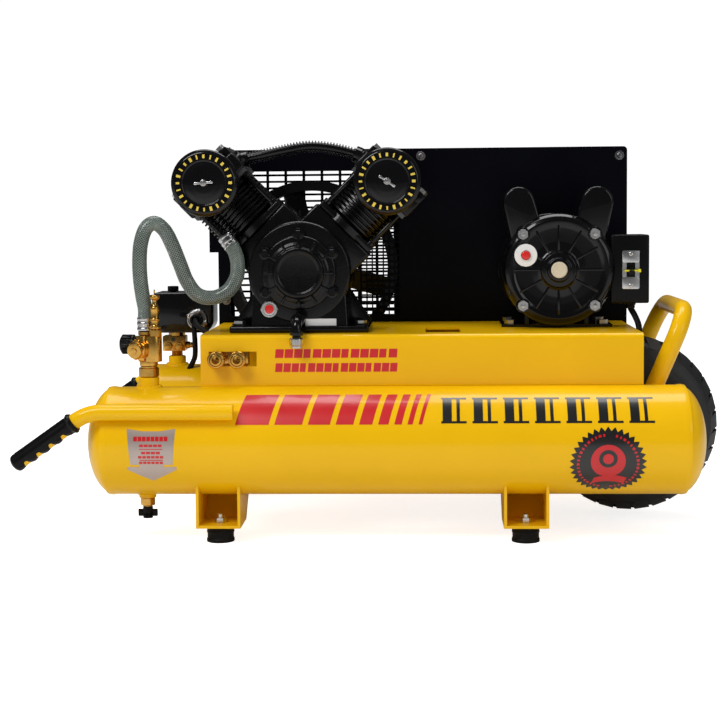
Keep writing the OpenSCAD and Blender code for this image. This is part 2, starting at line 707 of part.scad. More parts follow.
// A finned head block. The bank that stands further back has a boss out to its filter
module heads() color(iron) {
    for (side = [-1, 1]) {
        face = pump_y + side * bank_step - head_w / 2;
        bank(side) difference() {
            translate([-head_w / 2, -head_w / 2, barrel_top + plate_t + fit])
                cube([head_w, head_w, head_t - fit]);
            for (i = [1:5])
                translate([-head_w / 2 + i * head_w / 6 - 4, -head_w / 2 - eps, head_reach - head_fin])
                cube([8, head_w + 2 * eps, head_fin + eps]);
        }
        if (face - filter_y1 > eps)
            y_cyl(10, filter_y1 + fit, face + 2, pump_x + side * filter_c, crank_z + filter_c);
    }
}

module head_bolts() color(steel) both_banks() for (x = [-1, 1], y = [-1, 1])
    translate([x * head_w * 0.42, y * head_w * 0.42, head_reach + fit]) cylinder(r = 7, h = 5, $fn = 6);

// The finned tube that arches between the heads, and the elbow stub that feeds the hose
tube_r = 8;
v_face = [for (s = [-1, 1]) [
    pump_x + s * (head_reach - 24 - head_w / 2) / sqrt(2),
    crank_z + (head_reach - 24 + head_w / 2) / sqrt(2)
]];
tube_route = [
    [v_face[0][0] + 2, pump_y - 8, v_face[0][1] - 2], [v_face[0][0] + 24, pump_y - 8, v_face[0][1] + 3],
    [pump_x - 28, pump_y - 6, v_face[0][1] + 11], [pump_x + 8, pump_y, v_face[0][1] + 17],
    [pump_x + 40, pump_y + 4, v_face[0][1] + 15], [v_face[1][0] - 18, pump_y + 8, v_face[1][1] + 8],
    [v_face[1][0] - 2, pump_y + 8, v_face[1][1] + 1]
];

// The stub runs beside the left cylinder, from the valve plate down to the hose
stub_at = [-40, -47.5];
stub_low = 114;

module intercooler_tube() color(black) {
    sweep(smooth(tube_route, 4), tube_r, 12);
    bank(-1) translate([stub_at[0], stub_at[1], stub_low]) cylinder(r = 6, h = barrel_top - stub_low - fit);
}

module filter_bodies() color(black) for (c = [filter_left, filter_right]) difference() {
    union() {
        y_cyl(filter_r - 2, filter_y1 - filter_depth, filter_y1, c[0], c[1]);
        y_cyl(filter_r, filter_y1 - filter_depth + 3, filter_y1 - filter_depth + 9, c[0], c[1]);
    }
    y_cyl(filter_r - 4, filter_y1 - filter_depth - eps, filter_y1 - 3, c[0], c[1]);
    y_cyl(4, filter_y1 - 4, filter_y1 + eps, c[0], c[1]);
}

module filter_elements() color([0.85, 0.82, 0.7]) for (c = [filter_left, filter_right]) difference() {
    y_cyl(filter_r - 10, filter_y1 - filter_depth, filter_y1 - 3 - fit, c[0], c[1]);
    y_cyl(filter_r - 24, filter_y1 - filter_depth - eps, filter_y1, c[0], c[1]);
}

module filter_covers() color(black) for (c = [filter_left, filter_right]) {
    translate([c[0], filter_y1 - filter_depth - fit, c[1]]) rotate([90, 0, 0])
        rotate_extrude() polygon(concat(
        [[0, 0], [filter_r, 0]], arc(filter_r - 5, filter_lid - 5, 5, 0, 90, 4),
        [[filter_r - 12, filter_lid], [filter_r - 16, filter_lid - 1.6], [0, filter_lid - 1.6]]));
    y_cyl(2.9, filter_y1 - filter_depth - filter_lid - 5, filter_y1 - 4, c[0], c[1]);
}

module wing_nut(c, a)
translate([c[0], filter_y1 - filter_depth - filter_lid + 1, c[1]]) rotate([0, a, 0]) difference() {
    union() {
        y_cyl(5.5, -8, 0, 0, 0);
        for (s = [0, 180]) rotate([0, s, 0]) y_plate(-9, -5.5)
            polygon([[3, -3], [13, -4.5], [15, 0], [13, 4.5], [3, 3]]);
    }
    y_cyl(2.9 + fit, -10, 1, 0, 0);
}

module wing_nuts() color(steel) {
    wing_nut(filter_left, 0);
    wing_nut(filter_right, 35);
}

// ---------- belt drive ----------

// Half outline of a grooved rim: outside radius r, inside radius ri, width w
function grooved(r, ri, w) = let (g = belt_w / 2 + gap, d = belt_h + belt_inset + gap) [
    [ri, -w / 2], [r, -w / 2], [r, -g], [r - d, -g + 1], [r - d, g - 1], [r, g], [r, w / 2], [ri, w / 2]];

spoke_tilt = 18;

module flywheel() color(iron) translate([pump_x, belt_y, crank_z]) rotate([-90, 0, 0]) {
    rotate_extrude() polygon(grooved(fly_r, fly_r - 16, rim_w));
    difference() {
        union() {
            translate([0, 0, -rim_w / 2]) cylinder(r = 30, h = rim_w);
            for (i = [0:5]) rotate([0, 0, 16 + i * 60]) rotate([spoke_tilt, 0, 0])
                translate([20, -16, -4]) cube([fly_r - 15 - 20, 32, 8]);
        }
        translate([0, 0, -rim_w]) cylinder(r = crank_r, h = 2 * rim_w);
    }
}

module motor_pulley() color(iron) translate([motor_x, belt_y, crank_z]) rotate([-90, 0, 0])
    rotate_extrude() polygon(grooved(pulley_r, shaft_r, pulley_w));

// Outline of the belt's run at an offset r from each pitch circle
function belt_line(o) =
    let (r1 = fly_pitch + o, r2 = pulley_pitch + o, t = acos((r1 - r2) / belt_centres)) concat(
    arc(pump_x, crank_z, r1, t, 360 - t, 24), arc(motor_x, crank_z, r2, -t, t, 12));

module drive_belt() color(black) y_plate(belt_y - belt_w / 2 + 1, belt_y + belt_w / 2 - 1) difference() {
    polygon(belt_line(belt_h / 2));
    polygon(belt_line(-belt_h / 2));
}

// ---------- motor ----------

base_t = 4;

module motor_shell() color(black) difference() {
    y_cyl(motor_r, motor_y0 + bell_l, motor_y0 + bell_l + shell_l, motor_x, crank_z);
    y_cyl(motor_r - shell_wall, motor_y0, motor_y1, motor_x, crank_z);
}

// A cup with a boss that holds the bearing, on each end of the shell
module bell(dir)
translate([motor_x, dir > 0 ? motor_y0 : motor_y1, crank_z]) rotate([-90 * dir, 0, 0]) difference() {
    union() {
        rotate_extrude() polygon([[0, 0], [motor_r - 8, 0], [motor_r, 8], [motor_r, bell_l - fit],
            [motor_r - 4, bell_l - fit], [motor_r - 4, 10], [motor_r - 10, 4], [0, 4]]);
        cylinder(r = motor_bearing_r + 6, h = 8 + motor_bearing_t);
        translate([0, 0, -4]) cylinder(r = 25, h = 5);
    }
    translate([0, 0, 8 - fit]) cylinder(r = motor_bearing_r, h = motor_bearing_t + 1);
    translate([0, 0, dir > 0 ? 1 : -6]) cylinder(r = shaft_r + 2, h = 20);
}

module end_bells() color(black) {
    difference() {
        bell(1);
        y_cyl(reset_stem_r + gap, motor_y0 - eps, motor_y0 + 9, reset_x, reset_z);
    }
    bell(-1);
}

stator_y0 = motor_y0 + bell_l + 15;
stator_y1 = motor_y0 + bell_l + shell_l - 15;

module stator() color(steel) difference() {
    y_cyl(motor_r - shell_wall - fit, stator_y0, stator_y1, motor_x, crank_z);
    y_cyl(motor_r * 0.56 + 0.6, stator_y0 - eps, stator_y1 + eps, motor_x, crank_z);
}

module rotor() color(steel) {
    y_cyl(shaft_r, motor_y0 + 7, belt_y + pulley_w / 2 + 8, motor_x, crank_z);
    y_cyl(motor_r * 0.56, stator_y0, stator_y1, motor_x, crank_z);
}

// A rigid base: a plate with two risers welded to the shell
module motor_base() color(black) difference() {
    union() {
        box(motor_x - base_w / 2, motor_y0 + 37, saddle_z,
            motor_x + base_w / 2, motor_y0 + 122, saddle_z + base_t);
        for (s = [-1, 1])
            box(motor_x + s * 44 - 3, motor_y0 + 40, saddle_z + base_t - 1,
                motor_x + s * 44 + 3, motor_y0 + 119, crank_z - motor_r * 0.6);
    }
    y_cyl(motor_r + seat, motor_y0, motor_y1, motor_x, crank_z);
    for (p = motor_bolts) z_cyl(bolt_r + 0.3, saddle_z - eps, saddle_z + base_t + eps, p[0], p[1]);
}

cap_r = 23;

module capacitor_covers() color(black) for (s = [-1, 1]) difference() {
    x = motor_x + s * 57;
    z = crank_z + motor_r + 39 - cap_r;
    union() {
        y_cyl(cap_r, motor_y0 + 12, motor_y0 + 112, x, z);
        translate([x, motor_y0 + 12, z]) rotate([0, s * 12, 0])
            translate([-cap_r, 0, -60]) cube([2 * cap_r, 100, 60]);
    }
    y_cyl(motor_r + seat, motor_y0, motor_y1, motor_x, crank_z);
}

module shaft_cap() color([0.85, 0.8, 0.68])
    y_cyl(12.5, motor_y0 - 8, motor_y0 - 4 - fit, motor_x, crank_z);

module reset_bezel() color([0.95, 0.95, 0.95]) difference() {
    y_cyl(16.5, motor_y0 - 3, motor_y0 - fit, reset_x, reset_z);
    y_cyl(6.5 + gap, motor_y0 - 4, motor_y0 + eps, reset_x, reset_z);
}

module reset_button() color([0.85, 0.05, 0.05]) {
    y_cyl(6.5, motor_y0 - 4 - reset_travel, motor_y0 - reset_travel - 0.5, reset_x, reset_z);
    y_cyl(reset_stem_r, motor_y0 - reset_travel - 1, motor_y0 + 5, reset_x, reset_z);
}

// The box's body, hollow, with its lid side towards the front
module switch_box() color(black) difference() {
    union() {
        translate([0, box_y1, 0]) rotate([90, 0, 0]) linear_extrude(box_y1 - box_y0)
            polygon(round_rect(box_x0, box_z0, box_x1, box_z1, 4));
        z_cyl(8, box_z0 - 6, box_z0 + 1, lead_route[0][0], lead_route[0][1]);
    }
    box(box_x0 + 3, box_y0 + 3, box_z0 + 3, box_x1 - 3, box_y1 - 3, box_z1 - 3);
    box(toggle_x - 6, box_y0 - eps, toggle_z - 10, toggle_x + 6, box_y0 + 4, toggle_z + 10);
    y_cyl(motor_r + seat, motor_y0, motor_y1, motor_x, crank_z);
    z_cyl(lead_d / 2 + 1.2, box_z0 - 7, box_z0 + 4, lead_route[0][0], lead_route[0][1]);
}

module switch_plate() color(steel) difference() {
    y_plate(box_y0 - 1.5, box_y0 - fit)
        polygon(round_rect(toggle_x - 12.5, toggle_z - 28, toggle_x + 12.5, toggle_z + 28, 3));
    box(toggle_x - 5.5, box_y0 - 3, toggle_z - 9.5, toggle_x + 5.5, box_y0 + eps, toggle_z + 9.5);
}

// The lever turns about an X axis just behind the plate
toggle_y = box_y0 + 1;

module toggle_lever() color(black) translate([toggle_x, toggle_y, toggle_z]) rotate([12, 0, 0]) {
    y_plate(-18, 0) polygon(round_rect(-4, -3, 4, 3, 1.5));
    rotate([0, 90, 0]) translate([0, 0, -4]) cylinder(r = 5, h = 8);
}

// ---------- belt guard ----------

window_x0 = pump_x - 128;
window_x1 = pump_x + 78;
window_z0 = crank_z - 82;
window_z1 = crank_z + 151;
mesh_x = [window_x1 + 3, window_x1 + 62];
mesh_pitch = [8.7, 10.4];

module guard_panel() color(black) y_plate(guard_y0 + 0.1, guard_y0 + guard_t) difference() {
    polygon(round_rect(guard_x0, guard_z0, guard_x1, guard_z1, 6));
    polygon(round_rect(window_x0, window_z0, window_x1, window_z1, 14));
    translate([motor_x, crank_z]) circle(r = 28);
    for (x = [mesh_x[0]:mesh_pitch[0]:mesh_x[1]], z = [window_z0 + 8:mesh_pitch[1]:window_z1 - 40])
        translate([x, z]) square([mesh_pitch[0] - 2.2, mesh_pitch[1] - 2.6]);
}

slot_pitch = [29.5, 10.5];
grille_slot = [25, 7];

module guard_cover() color(black) {
    y_plate(guard_y0 + guard_t + fit, guard_y1) difference() {
        polygon(round_rect(guard_x0, guard_z0, guard_x1, guard_z1, 6));
        polygon(round_rect(guard_x0 + guard_t, guard_z0 + guard_t,
            guard_x1 - guard_t, guard_z1 - guard_t, 4));
    }
    y_plate(guard_y1 - guard_t, guard_y1) difference() {
        polygon(round_rect(guard_x0 + 0.5, guard_z0 + 0.5, guard_x1 - 0.5, guard_z1 - 0.5, 6));
        for (i = [0:8], j = [0:22])
            translate([pump_x - 132 + i * slot_pitch[0], crank_z - 82 + j * slot_pitch[1]])
                square(grille_slot);
    }
    box(guard_x0 - 18, guard_y0 + 30, saddle_z + 110, guard_x0 + 0.5, guard_y0 + 50, saddle_z + 163);
}

// ---------- air fittings and electrics ----------

module pressure_switch() color(black) difference() {
    union() {
        translate([0, switch_y1, 0]) rotate([90, 0, 0]) linear_extrude(switch_y1 - switch_y0)
            polygon(round_rect(switch_x0, switch_z0, switch_x1, switch_z1, 8));
        y_cyl(17, switch_y0 - 9, switch_y0 + 1, gland_x, gland_z);
        y_cyl(lead_bore + 3, switch_y0 - nozzle, switch_y0 - 8, gland_x, gland_z);
    }
    box(switch_x0 + 4, switch_y0 + 4, switch_z0 + 4, switch_x1 - 4, switch_y1 - 4, switch_z1 - 4);
    y_cyl(lead_bore, switch_y0 - nozzle - eps, switch_y0 + 5, gland_x, gland_z);
    z_cyl(5 + gap, switch_z1 - 5, switch_z1 + eps, switch_knob_x, tank_y);
    z_cyl(bung_bore, switch_z0 - eps, switch_z0 + 5, bung_x_rear, tank_y);
}

module switch_knob() color(black) {
    z_cyl(9, switch_z1 + 0.5, switch_z1 + 9, switch_knob_x, tank_y);
    z_cyl(5, switch_z1 - 8, switch_z1 + 1, switch_knob_x, tank_y);
}

module front_fittings() {
    z_cyl(bung_bore - fit, tank_z + tank_r - 2, tee_z, bung_x, -tank_y);
    z_hex(15, bung_top + fit, bung_top + 14, bung_x, -tank_y);
    box(bung_x - 14, tee_front, tee_z - 18, bung_x + 17, tee_back, tee_z + 19);
    z_cyl(hose_d / 2 - 3, tee_z + 18, hose_z - 16, hose_x, line_y);
    z_hex(hose_d / 2 + 1, hose_z - 20, hose_z, hose_x, line_y);
    y_hex(15, tee_front - 6, tee_front + 1, bung_x - 12, tee_z);
    y_cyl(11, tee_front - 14, tee_front - 5, bung_x - 12, tee_z);
    x_cyl(6, knob_x1 - 4, bung_x - 13, line_y, tee_z + 6);
    z_hex(9, tee_z + 18, tee_z + 28, pilot_x, pilot_y);
    z_cyl(6.5, tee_z + 27, tee_z + 62, pilot_x, pilot_y);
    z_cyl(8, tee_z + 58, tee_z + 66, pilot_x, pilot_y);
    z_cyl(5, tee_z + 65, tee_z + 77, pilot_x, pilot_y);
}

module rear_fittings() {
    z_cyl(bung_bore - fit, tank_z + tank_r - 2, switch_z0 + 4, bung_x_rear, tank_y);
    box(bung_x_rear - 22, tank_y - 14, bung_top + 8, bung_x_rear + 16, tank_y + 14, switch_z0 - 6);
    z_hex(14, switch_z0 - 7, switch_z0 - fit, bung_x_rear, tank_y);
}

module brass_fittings() color(brass) {
    front_fittings();
    rear_fittings();
    // outlet manifold behind the saddle's front flange
    box(coupler_x[0] - 13, saddle_y0 + 9, coupler_z - 11,
        coupler_x[1] + 13, saddle_y0 + 31, coupler_z + 11);
    // pipe between the two tanks
    y_cyl(8, -tank_y + tank_r + 1, tank_y - tank_r - 1, bung_x + 20, tank_z);
    both_sides() y_hex(13, -tank_y + tank_r + 1, -tank_y + tank_r + 13, bung_x + 20, tank_z);
    // drain cock bodies
    both_sides() {
        z_cyl(drain_bore - fit, drain_top - 1, tank_z - tank_r + 4, drain_x, -tank_y);
        z_hex(11, drain_top - 12, drain_top - fit, drain_x, -tank_y);
        z_cyl(4, drain_top - 20, drain_top - 11, drain_x, -tank_y);
    }
}

module regulator_knob() color(black) difference() {
    x_cyl(knob_r, knob_x0, knob_x1, line_y, tee_z + 6);
    x_cyl(6 + gap, knob_x1 - 5, knob_x1 + eps, line_y, tee_z + 6);
    for (i = [0:11])
        translate([knob_x0, line_y, tee_z + 6]) rotate([i * 30, 0, 0]) translate([-eps, 0, knob_r])
        rotate([0, 90, 0]) cylinder(r = 1.4, h = 14);
}

module discharge_hose() color([0.62, 0.68, 0.64]) sweep(smooth(hose_route, 3), hose_d / 2, 12);

module motor_lead() color(black) sweep(smooth(lead_route, 3), lead_d / 2, 8);

// An outlet coupler: a plug socket in front, screwed into the manifold behind the flange
module coupler_bodies() color(brass) for (x = coupler_x) difference() {
    union() {
        y_cyl(9, saddle_y0 - 20, saddle_y0 + 9 - fit, x, coupler_z);
        y_cyl(10.4, saddle_y0 + 1, saddle_y0 + 9 - fit, x, coupler_z);
    }
    y_cyl(coupler_bore / 2, saddle_y0 - 21, saddle_y0 + 1, x, coupler_z);
}

sleeve_travel = 4.5;

module sleeve(x) color(brass) difference() {
    y_cyl(coupler_d / 2, saddle_y0 - 19, saddle_y0 - 0.5 - sleeve_travel, x, coupler_z);
    y_cyl(9 + fit, saddle_y0 - 21, saddle_y0 + 1, x, coupler_z);
}

module coupler_sleeve_left() sleeve(coupler_x[0]);
module coupler_sleeve_right() sleeve(coupler_x[1]);

module drain_knob(side) color(black) difference() {
    union() {
        z_cyl(7, drain_top - 30, drain_top - 13 - gap, drain_x, side * tank_y);
        for (a = [0, 180]) translate([drain_x, side * tank_y, drain_top - 28]) rotate([0, 0, a])
            translate([3, -2, 0]) cube([11, 4, 11]);
    }
    z_cyl(4 + fit, drain_top - 21, drain_top, drain_x, side * tank_y);
}

module drain_knob_front() drain_knob(-1);
module drain_knob_rear() drain_knob(1);

// ---------- drawing ----------

front_tank();
rear_tank();
foot_brackets();
rubber_feet();
fasteners();
saddle();
handle_tubes();
grips();
lift_handle();
axle_brackets();
wheel_axle();
tyre();
wheel_rim();
crankcase();
crankcase_cover();
sight_bezel();
sight_window();
oil_drain();
oil_filler();
crankshaft();
bearings();
con_rods();
pistons();
cylinders();
valve_plates();
heads();
head_bolts();
intercooler_tube();
filter_bodies();
filter_elements();
filter_covers();
wing_nuts();
flywheel();
drive_belt();
motor_pulley();
motor_shell();
end_bells();
stator();
rotor();
motor_base();
capacitor_covers();
shaft_cap();
reset_bezel();
reset_button();
switch_box();
switch_plate();
toggle_lever();
guard_panel();
guard_cover();
pressure_switch();
switch_knob();
brass_fittings();
regulator_knob();
discharge_hose();
motor_lead();
coupler_bodies();
coupler_sleeve_left();
coupler_sleeve_right();
drain_knob_front();
drain_knob_rear();
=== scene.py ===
import json
from math import cos, degrees, exp, hypot, pi, radians, sin, sqrt

import bmesh
import bpy
from mathutils import Matrix, Vector

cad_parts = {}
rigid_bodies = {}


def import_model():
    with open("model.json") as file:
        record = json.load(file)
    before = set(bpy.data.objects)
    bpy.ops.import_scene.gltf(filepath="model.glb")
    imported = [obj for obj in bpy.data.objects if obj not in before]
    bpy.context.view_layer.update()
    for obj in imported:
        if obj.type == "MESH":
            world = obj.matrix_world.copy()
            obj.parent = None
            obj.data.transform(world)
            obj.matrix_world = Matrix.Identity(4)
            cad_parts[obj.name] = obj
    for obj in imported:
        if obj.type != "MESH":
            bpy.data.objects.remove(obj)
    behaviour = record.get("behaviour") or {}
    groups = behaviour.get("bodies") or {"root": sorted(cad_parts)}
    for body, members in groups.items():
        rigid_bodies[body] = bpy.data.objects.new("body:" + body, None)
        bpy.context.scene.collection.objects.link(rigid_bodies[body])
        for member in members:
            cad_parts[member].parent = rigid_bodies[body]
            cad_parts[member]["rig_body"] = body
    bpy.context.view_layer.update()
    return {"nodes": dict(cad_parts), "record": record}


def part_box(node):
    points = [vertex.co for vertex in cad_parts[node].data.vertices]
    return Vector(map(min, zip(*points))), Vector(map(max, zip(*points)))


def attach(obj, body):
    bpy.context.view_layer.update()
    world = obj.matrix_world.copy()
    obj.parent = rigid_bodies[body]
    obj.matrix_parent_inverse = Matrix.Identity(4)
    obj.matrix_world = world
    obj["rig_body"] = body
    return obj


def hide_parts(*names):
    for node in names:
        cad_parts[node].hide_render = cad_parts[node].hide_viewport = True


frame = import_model()
nodes = frame["nodes"]
X, Y, Z = Vector((1, 0, 0)), Vector((0, 1, 0)), Vector((0, 0, 1))


# ---------- camera ----------

def make_camera():
    """A long lens, a little above the guard's middle, turned slightly to the left."""
    data = bpy.data.cameras.new("camera")
    data.sensor_width = 36
    data.lens = 76.9
    data.shift_y = -0.054
    camera = bpy.data.objects.new("camera", data)
    bpy.context.scene.collection.objects.link(camera)
    yaw, tilt, roll = radians(2.6), radians(90 - 4), radians(-0.5)
    turn = Matrix.Rotation(yaw, 4, "Z") @ Matrix.Rotation(tilt, 4, "X") @ Matrix.Rotation(roll, 4, "Z")
    camera.matrix_world = Matrix.Translation((0.077, -2.315, 0.457)) @ turn
    bpy.context.scene.camera = camera


# ---------- shapes: each is (points, faces) ----------

def join(*shapes):
    """Several shapes as one."""
    points, faces = [], []
    for p, f in shapes:
        n = len(points)
        points += p
        faces += [[i + n for i in face] for face in f]
    return points, faces


def moved(shape, matrix):
    return [matrix @ Vector(p) for p in shape[0]], shape[1]


def shift(shape, x=0, y=0, z=0):
    return moved(shape, Matrix.Translation((x, y, z)))


def turned(angle):
    """A turn about Z, in degrees."""
    return Matrix.Rotation(radians(angle), 4, "Z")


def along(origin, axis, spin=0.0):
    """The matrix that takes local Z to axis, at origin, with an extra turn about the axis."""
    turn = Z.rotation_difference(Vector(axis).normalized()).to_matrix().to_4x4()
    return Matrix.Translation(origin) @ turn @ Matrix.Rotation(spin, 4, "Z")


def mirrored(shape):
    """The same shape on the other side of the machine."""
    return [Vector((p[0], -p[1], p[2])) for p in shape[0]], [f[::-1] for f in shape[1]]


def to_bmesh(shape):
    bm = bmesh.new()
    verts = [bm.verts.new(p) for p in shape[0]]
    for f in shape[1]:
        bm.faces.new([verts[i] for i in f])
    bm.normal_update()
    return bm


def bevel(shape, width, steps=2, angle=35):
    """Rounds every edge of a closed shape that is sharper than angle, in degrees."""
    bm = to_bmesh(shape)
    bmesh.ops.recalc_face_normals(bm, faces=bm.faces)
    limit = radians(angle)
    edges = [e for e in bm.edges if e.is_manifold and e.calc_face_angle(0) > limit]
    bmesh.ops.bevel(bm, geom=edges, offset=width, segments=steps, profile=0.5, affect="EDGES",
                    clamp_overlap=True)
    bm.verts.index_update()
    result = [v.co.copy() for v in bm.verts], [[v.index for v in f.verts] for f in bm.faces]
    bm.free()
    return result


def block(x0, y0, z0, x1, y1, z1):
    points = [Vector((x, y, z)) for z in (z0, z1) for y in (y0, y1) for x in (x0, x1)]
    faces = [[0, 2, 3, 1], [4, 5, 7, 6], [0, 1, 5, 4], [2, 6, 7, 3], [0, 4, 6, 2], [1, 3, 7, 5]]
    return points, faces


def prism(outline, h0, h1):
    """A flat outline of (x, y) points, raised from z = h0 to h1."""
    n = len(outline)
    points = [Vector((x, y, h)) for h in (h0, h1) for x, y in outline]
    faces = [list(range(n))[::-1], list(range(n, 2 * n))]
    faces += [[i, (i + 1) % n, n + (i + 1) % n, n + i] for i in range(n)]
    return points, faces


def front(shape, y):
    """A prism drawn in X and Z with its height towards the front: its zero level lies at y."""
    turn = Matrix(((1, 0, 0, 0), (0, 0, -1, y), (0, 1, 0, 0), (0, 0, 0, 1)))
    return moved(shape, turn)


def arc(cx, cy, r, a0, a1, n=8):
    """Points of an arc, with its angles in degrees."""
    angles = [radians(a0 + (a1 - a0) * i / n) for i in range(n + 1)]
    return [(cx + r * cos(a), cy + r * sin(a)) for a in angles]


def round_rect(x0, y0, x1, y1, r, n=5):
    return (arc(x1 - r, y1 - r, r, 0, 90, n) + arc(x0 + r, y1 - r, r, 90, 180, n)
            + arc(x0 + r, y0 + r, r, 180, 270, n) + arc(x1 - r, y0 + r, r, 270, 360, n))


def rounded(profile, r, steps=3):
    """An open outline with its inner corners rounded by up to r."""
    out = [profile[0]]
    for a, b, c in zip(profile, profile[1:], profile[2:]):
        a, b, c = Vector(a), Vector(b), Vector(c)
        u, v = a - b, c - b
        d = min(r, u.length * 0.45, v.length * 0.45)
        if d < 1e-6 or abs(u.normalized().dot(v.normalized())) > 0.999:
            out.append(tuple(b))
            continue
        p, q = b + u.normalized() * d, b + v.normalized() * d
        for i in range(steps + 1):
            t = i / steps
            out.append(tuple(p * (1 - t) ** 2 + b * 2 * t * (1 - t) + q * t * t))
    return out + [profile[-1]]


def lathe(profile, n=48, swell=None):
    """Turns an outline of (radius, height) points about Z. An outline that starts and ends off the
    axis is closed on itself. swell(angle, radius, height) may change a point's radius."""
    closed = profile[0][0] > 1e-7 and profile[-1][0] > 1e-7
    points, rings = [], []
    for r, h in profile:
        if r <= 1e-7:
            rings.append([len(points)])
            points.append(Vector((0, 0, h)))
            continue
        rings.append(list(range(len(points), len(points) + n)))
        for i in range(n):
            a = 2 * pi * i / n
            q = r if swell is None else swell(a, r, h)
            points.append(Vector((q * cos(a), q * sin(a), h)))
    faces = []
    pairs = list(zip(rings, rings[1:])) + ([(rings[-1], rings[0])] if closed else [])
    for a, b in pairs:
        for i in range(n):
            j = (i + 1) % n
            if len(a) == 1 and len(b) == 1:
                continue
            if len(a) == 1:
                faces.append([a[0], b[j], b[i]])
            elif len(b) == 1:
                faces.append([a[i], a[j], b[0]])
            else:
                faces.append([a[i], a[j], b[j], b[i]])
    return points, faces


def rod(r, h0, h1, edge=0.0006, n=40):
    """A solid round bar along Z with eased edges."""
    return lathe(rounded([(0, h0), (r, h0), (r, h1), (0, h1)], edge), n)


def ring(r0, r1, h0, h1, edge=0.0006, n=40):
    """A tube along Z, with r0 inside r1."""
    loop = rounded([(r0, h0 + 1e-5), (r0, h0), (r1, h0), (r1, h1), (r0, h1), (r0, h0 + 2e-5)], edge)
    return lathe(loop, n)


def torus(r, tube, n=64, m=10, z=0.0, ripple=0.0, waves=0):
    """A round bead about Z, rippled like a weld when ripple is set."""
    points = []
    for i in range(n):
        a = 2 * pi * i / n
        t = tube * (1 + ripple * sin(a * waves))
        for j in range(m):
            b = 2 * pi * j / m
            q = r + t * cos(b)
            points.append(Vector((q * cos(a), q * sin(a), z + t * sin(b))))
    faces = [[i * m + j, ((i + 1) % n) * m + j, ((i + 1) % n) * m + (j + 1) % m, i * m + (j + 1) % m]
             for i in range(n) for j in range(m)]
    return points, faces


def hexagon(r, h0, h1, chamfer=0.0008):
    """A nut or bolt head along Z, r across its corners, with both rims chamfered."""
    outline = [(r * cos(radians(a)), r * sin(radians(a))) for a in range(0, 360, 60)]
    return bevel(prism(outline, h0, h1), chamfer, 1, 30)


def screw_head(r, h, slot=True):
    """A pan head along Z with a cross recess, standing on z = 0."""
    head = lathe(rounded([(0, 0), (r, 0), (r, h * 0.55), (r * 0.6, h), (0, h)], r * 0.3, 3), 20)
    if not slot:
        return head
    w = r * 0.13
    bars = [block(-r * 0.55, -w, h * 0.97, r * 0.55, w, h * 1.04),
            block(-w, -r * 0.55, h * 0.97, w, r * 0.55, h * 1.04)]
    return join(head, *bars)


def frames(points):
    """Along a line of points: (tangent, side, up) at each, turning as little as it can."""
    out = []
    side = None
    for i, p in enumerate(points):
        t = (points[min(i + 1, len(points) - 1)] - points[max(i - 1, 0)]).normalized()
        if side is None:
            side = t.cross(Y if abs(t.y) < 0.9 else X).normalized()
        side = (side - t * side.dot(t)).normalized()
        out.append((t, side, t.cross(side)))
    return out


def sweep(points, radius, n=16):
    """A closed round tube along points. radius is a number or a function of (share, angle)."""
    points = [Vector(p) for p in points]
    verts = []
    last = len(points) - 1
    for i, (p, (t, u, v)) in enumerate(zip(points, frames(points))):
        for j in range(n):
            a = 2 * pi * j / n
            r = radius(i / last, a) if callable(radius) else radius
            verts.append(p + (u * cos(a) + v * sin(a)) * r)
    faces = [[i * n + j, i * n + (j + 1) % n, (i + 1) * n + (j + 1) % n, (i + 1) * n + j]
             for i in range(last) for j in range(n)]
    faces += [list(range(n))[::-1], list(range(last * n, (last + 1) * n))]
    return verts, faces


def smooth_path(p, k):
    """A smooth curve through the points p with k steps between neighbours."""
    p = [Vector(q) for q in p]
    out = []
    for i in range(len(p) - 1):
        a, b, c, d = p[max(i - 1, 0)], p[i], p[i + 1], p[min(i + 2, len(p) - 1)]
        for s in range(k):
            t = s / k
            out.append(0.5 * (2 * b + (c - a) * t + (2 * a - 5 * b + 4 * c - d) * t * t
                              + (3 * b - a - 3 * c + d) * t * t * t))
    return out + [p[-1]]


def length_of(points):
    return sum((b - a).length for a, b in zip(points, points[1:]))


def make(name, shape, mat, body="frame", stands_for=(), angle=32):
    """Makes a piece of a shape: smooth but for edges sharper than angle, riding on a body."""
    bm = to_bmesh(shape)
    bmesh.ops.remove_doubles(bm, verts=bm.verts, dist=1e-7)
    bmesh.ops.recalc_face_normals(bm, faces=bm.faces)
    mesh = bpy.data.meshes.new(name)
    bm.to_mesh(mesh)
    bm.free()
    mesh.polygons.foreach_set("use_smooth", [True] * len(mesh.polygons))
    mesh.set_sharp_from_angle(angle=radians(angle))
    mesh.materials.append(mat)
    piece = bpy.data.objects.new(name, mesh)
    bpy.context.scene.collection.objects.link(piece)
    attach(piece, body)
    if stands_for:
        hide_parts(*stands_for)
    return piece


# ---------- materials ----------

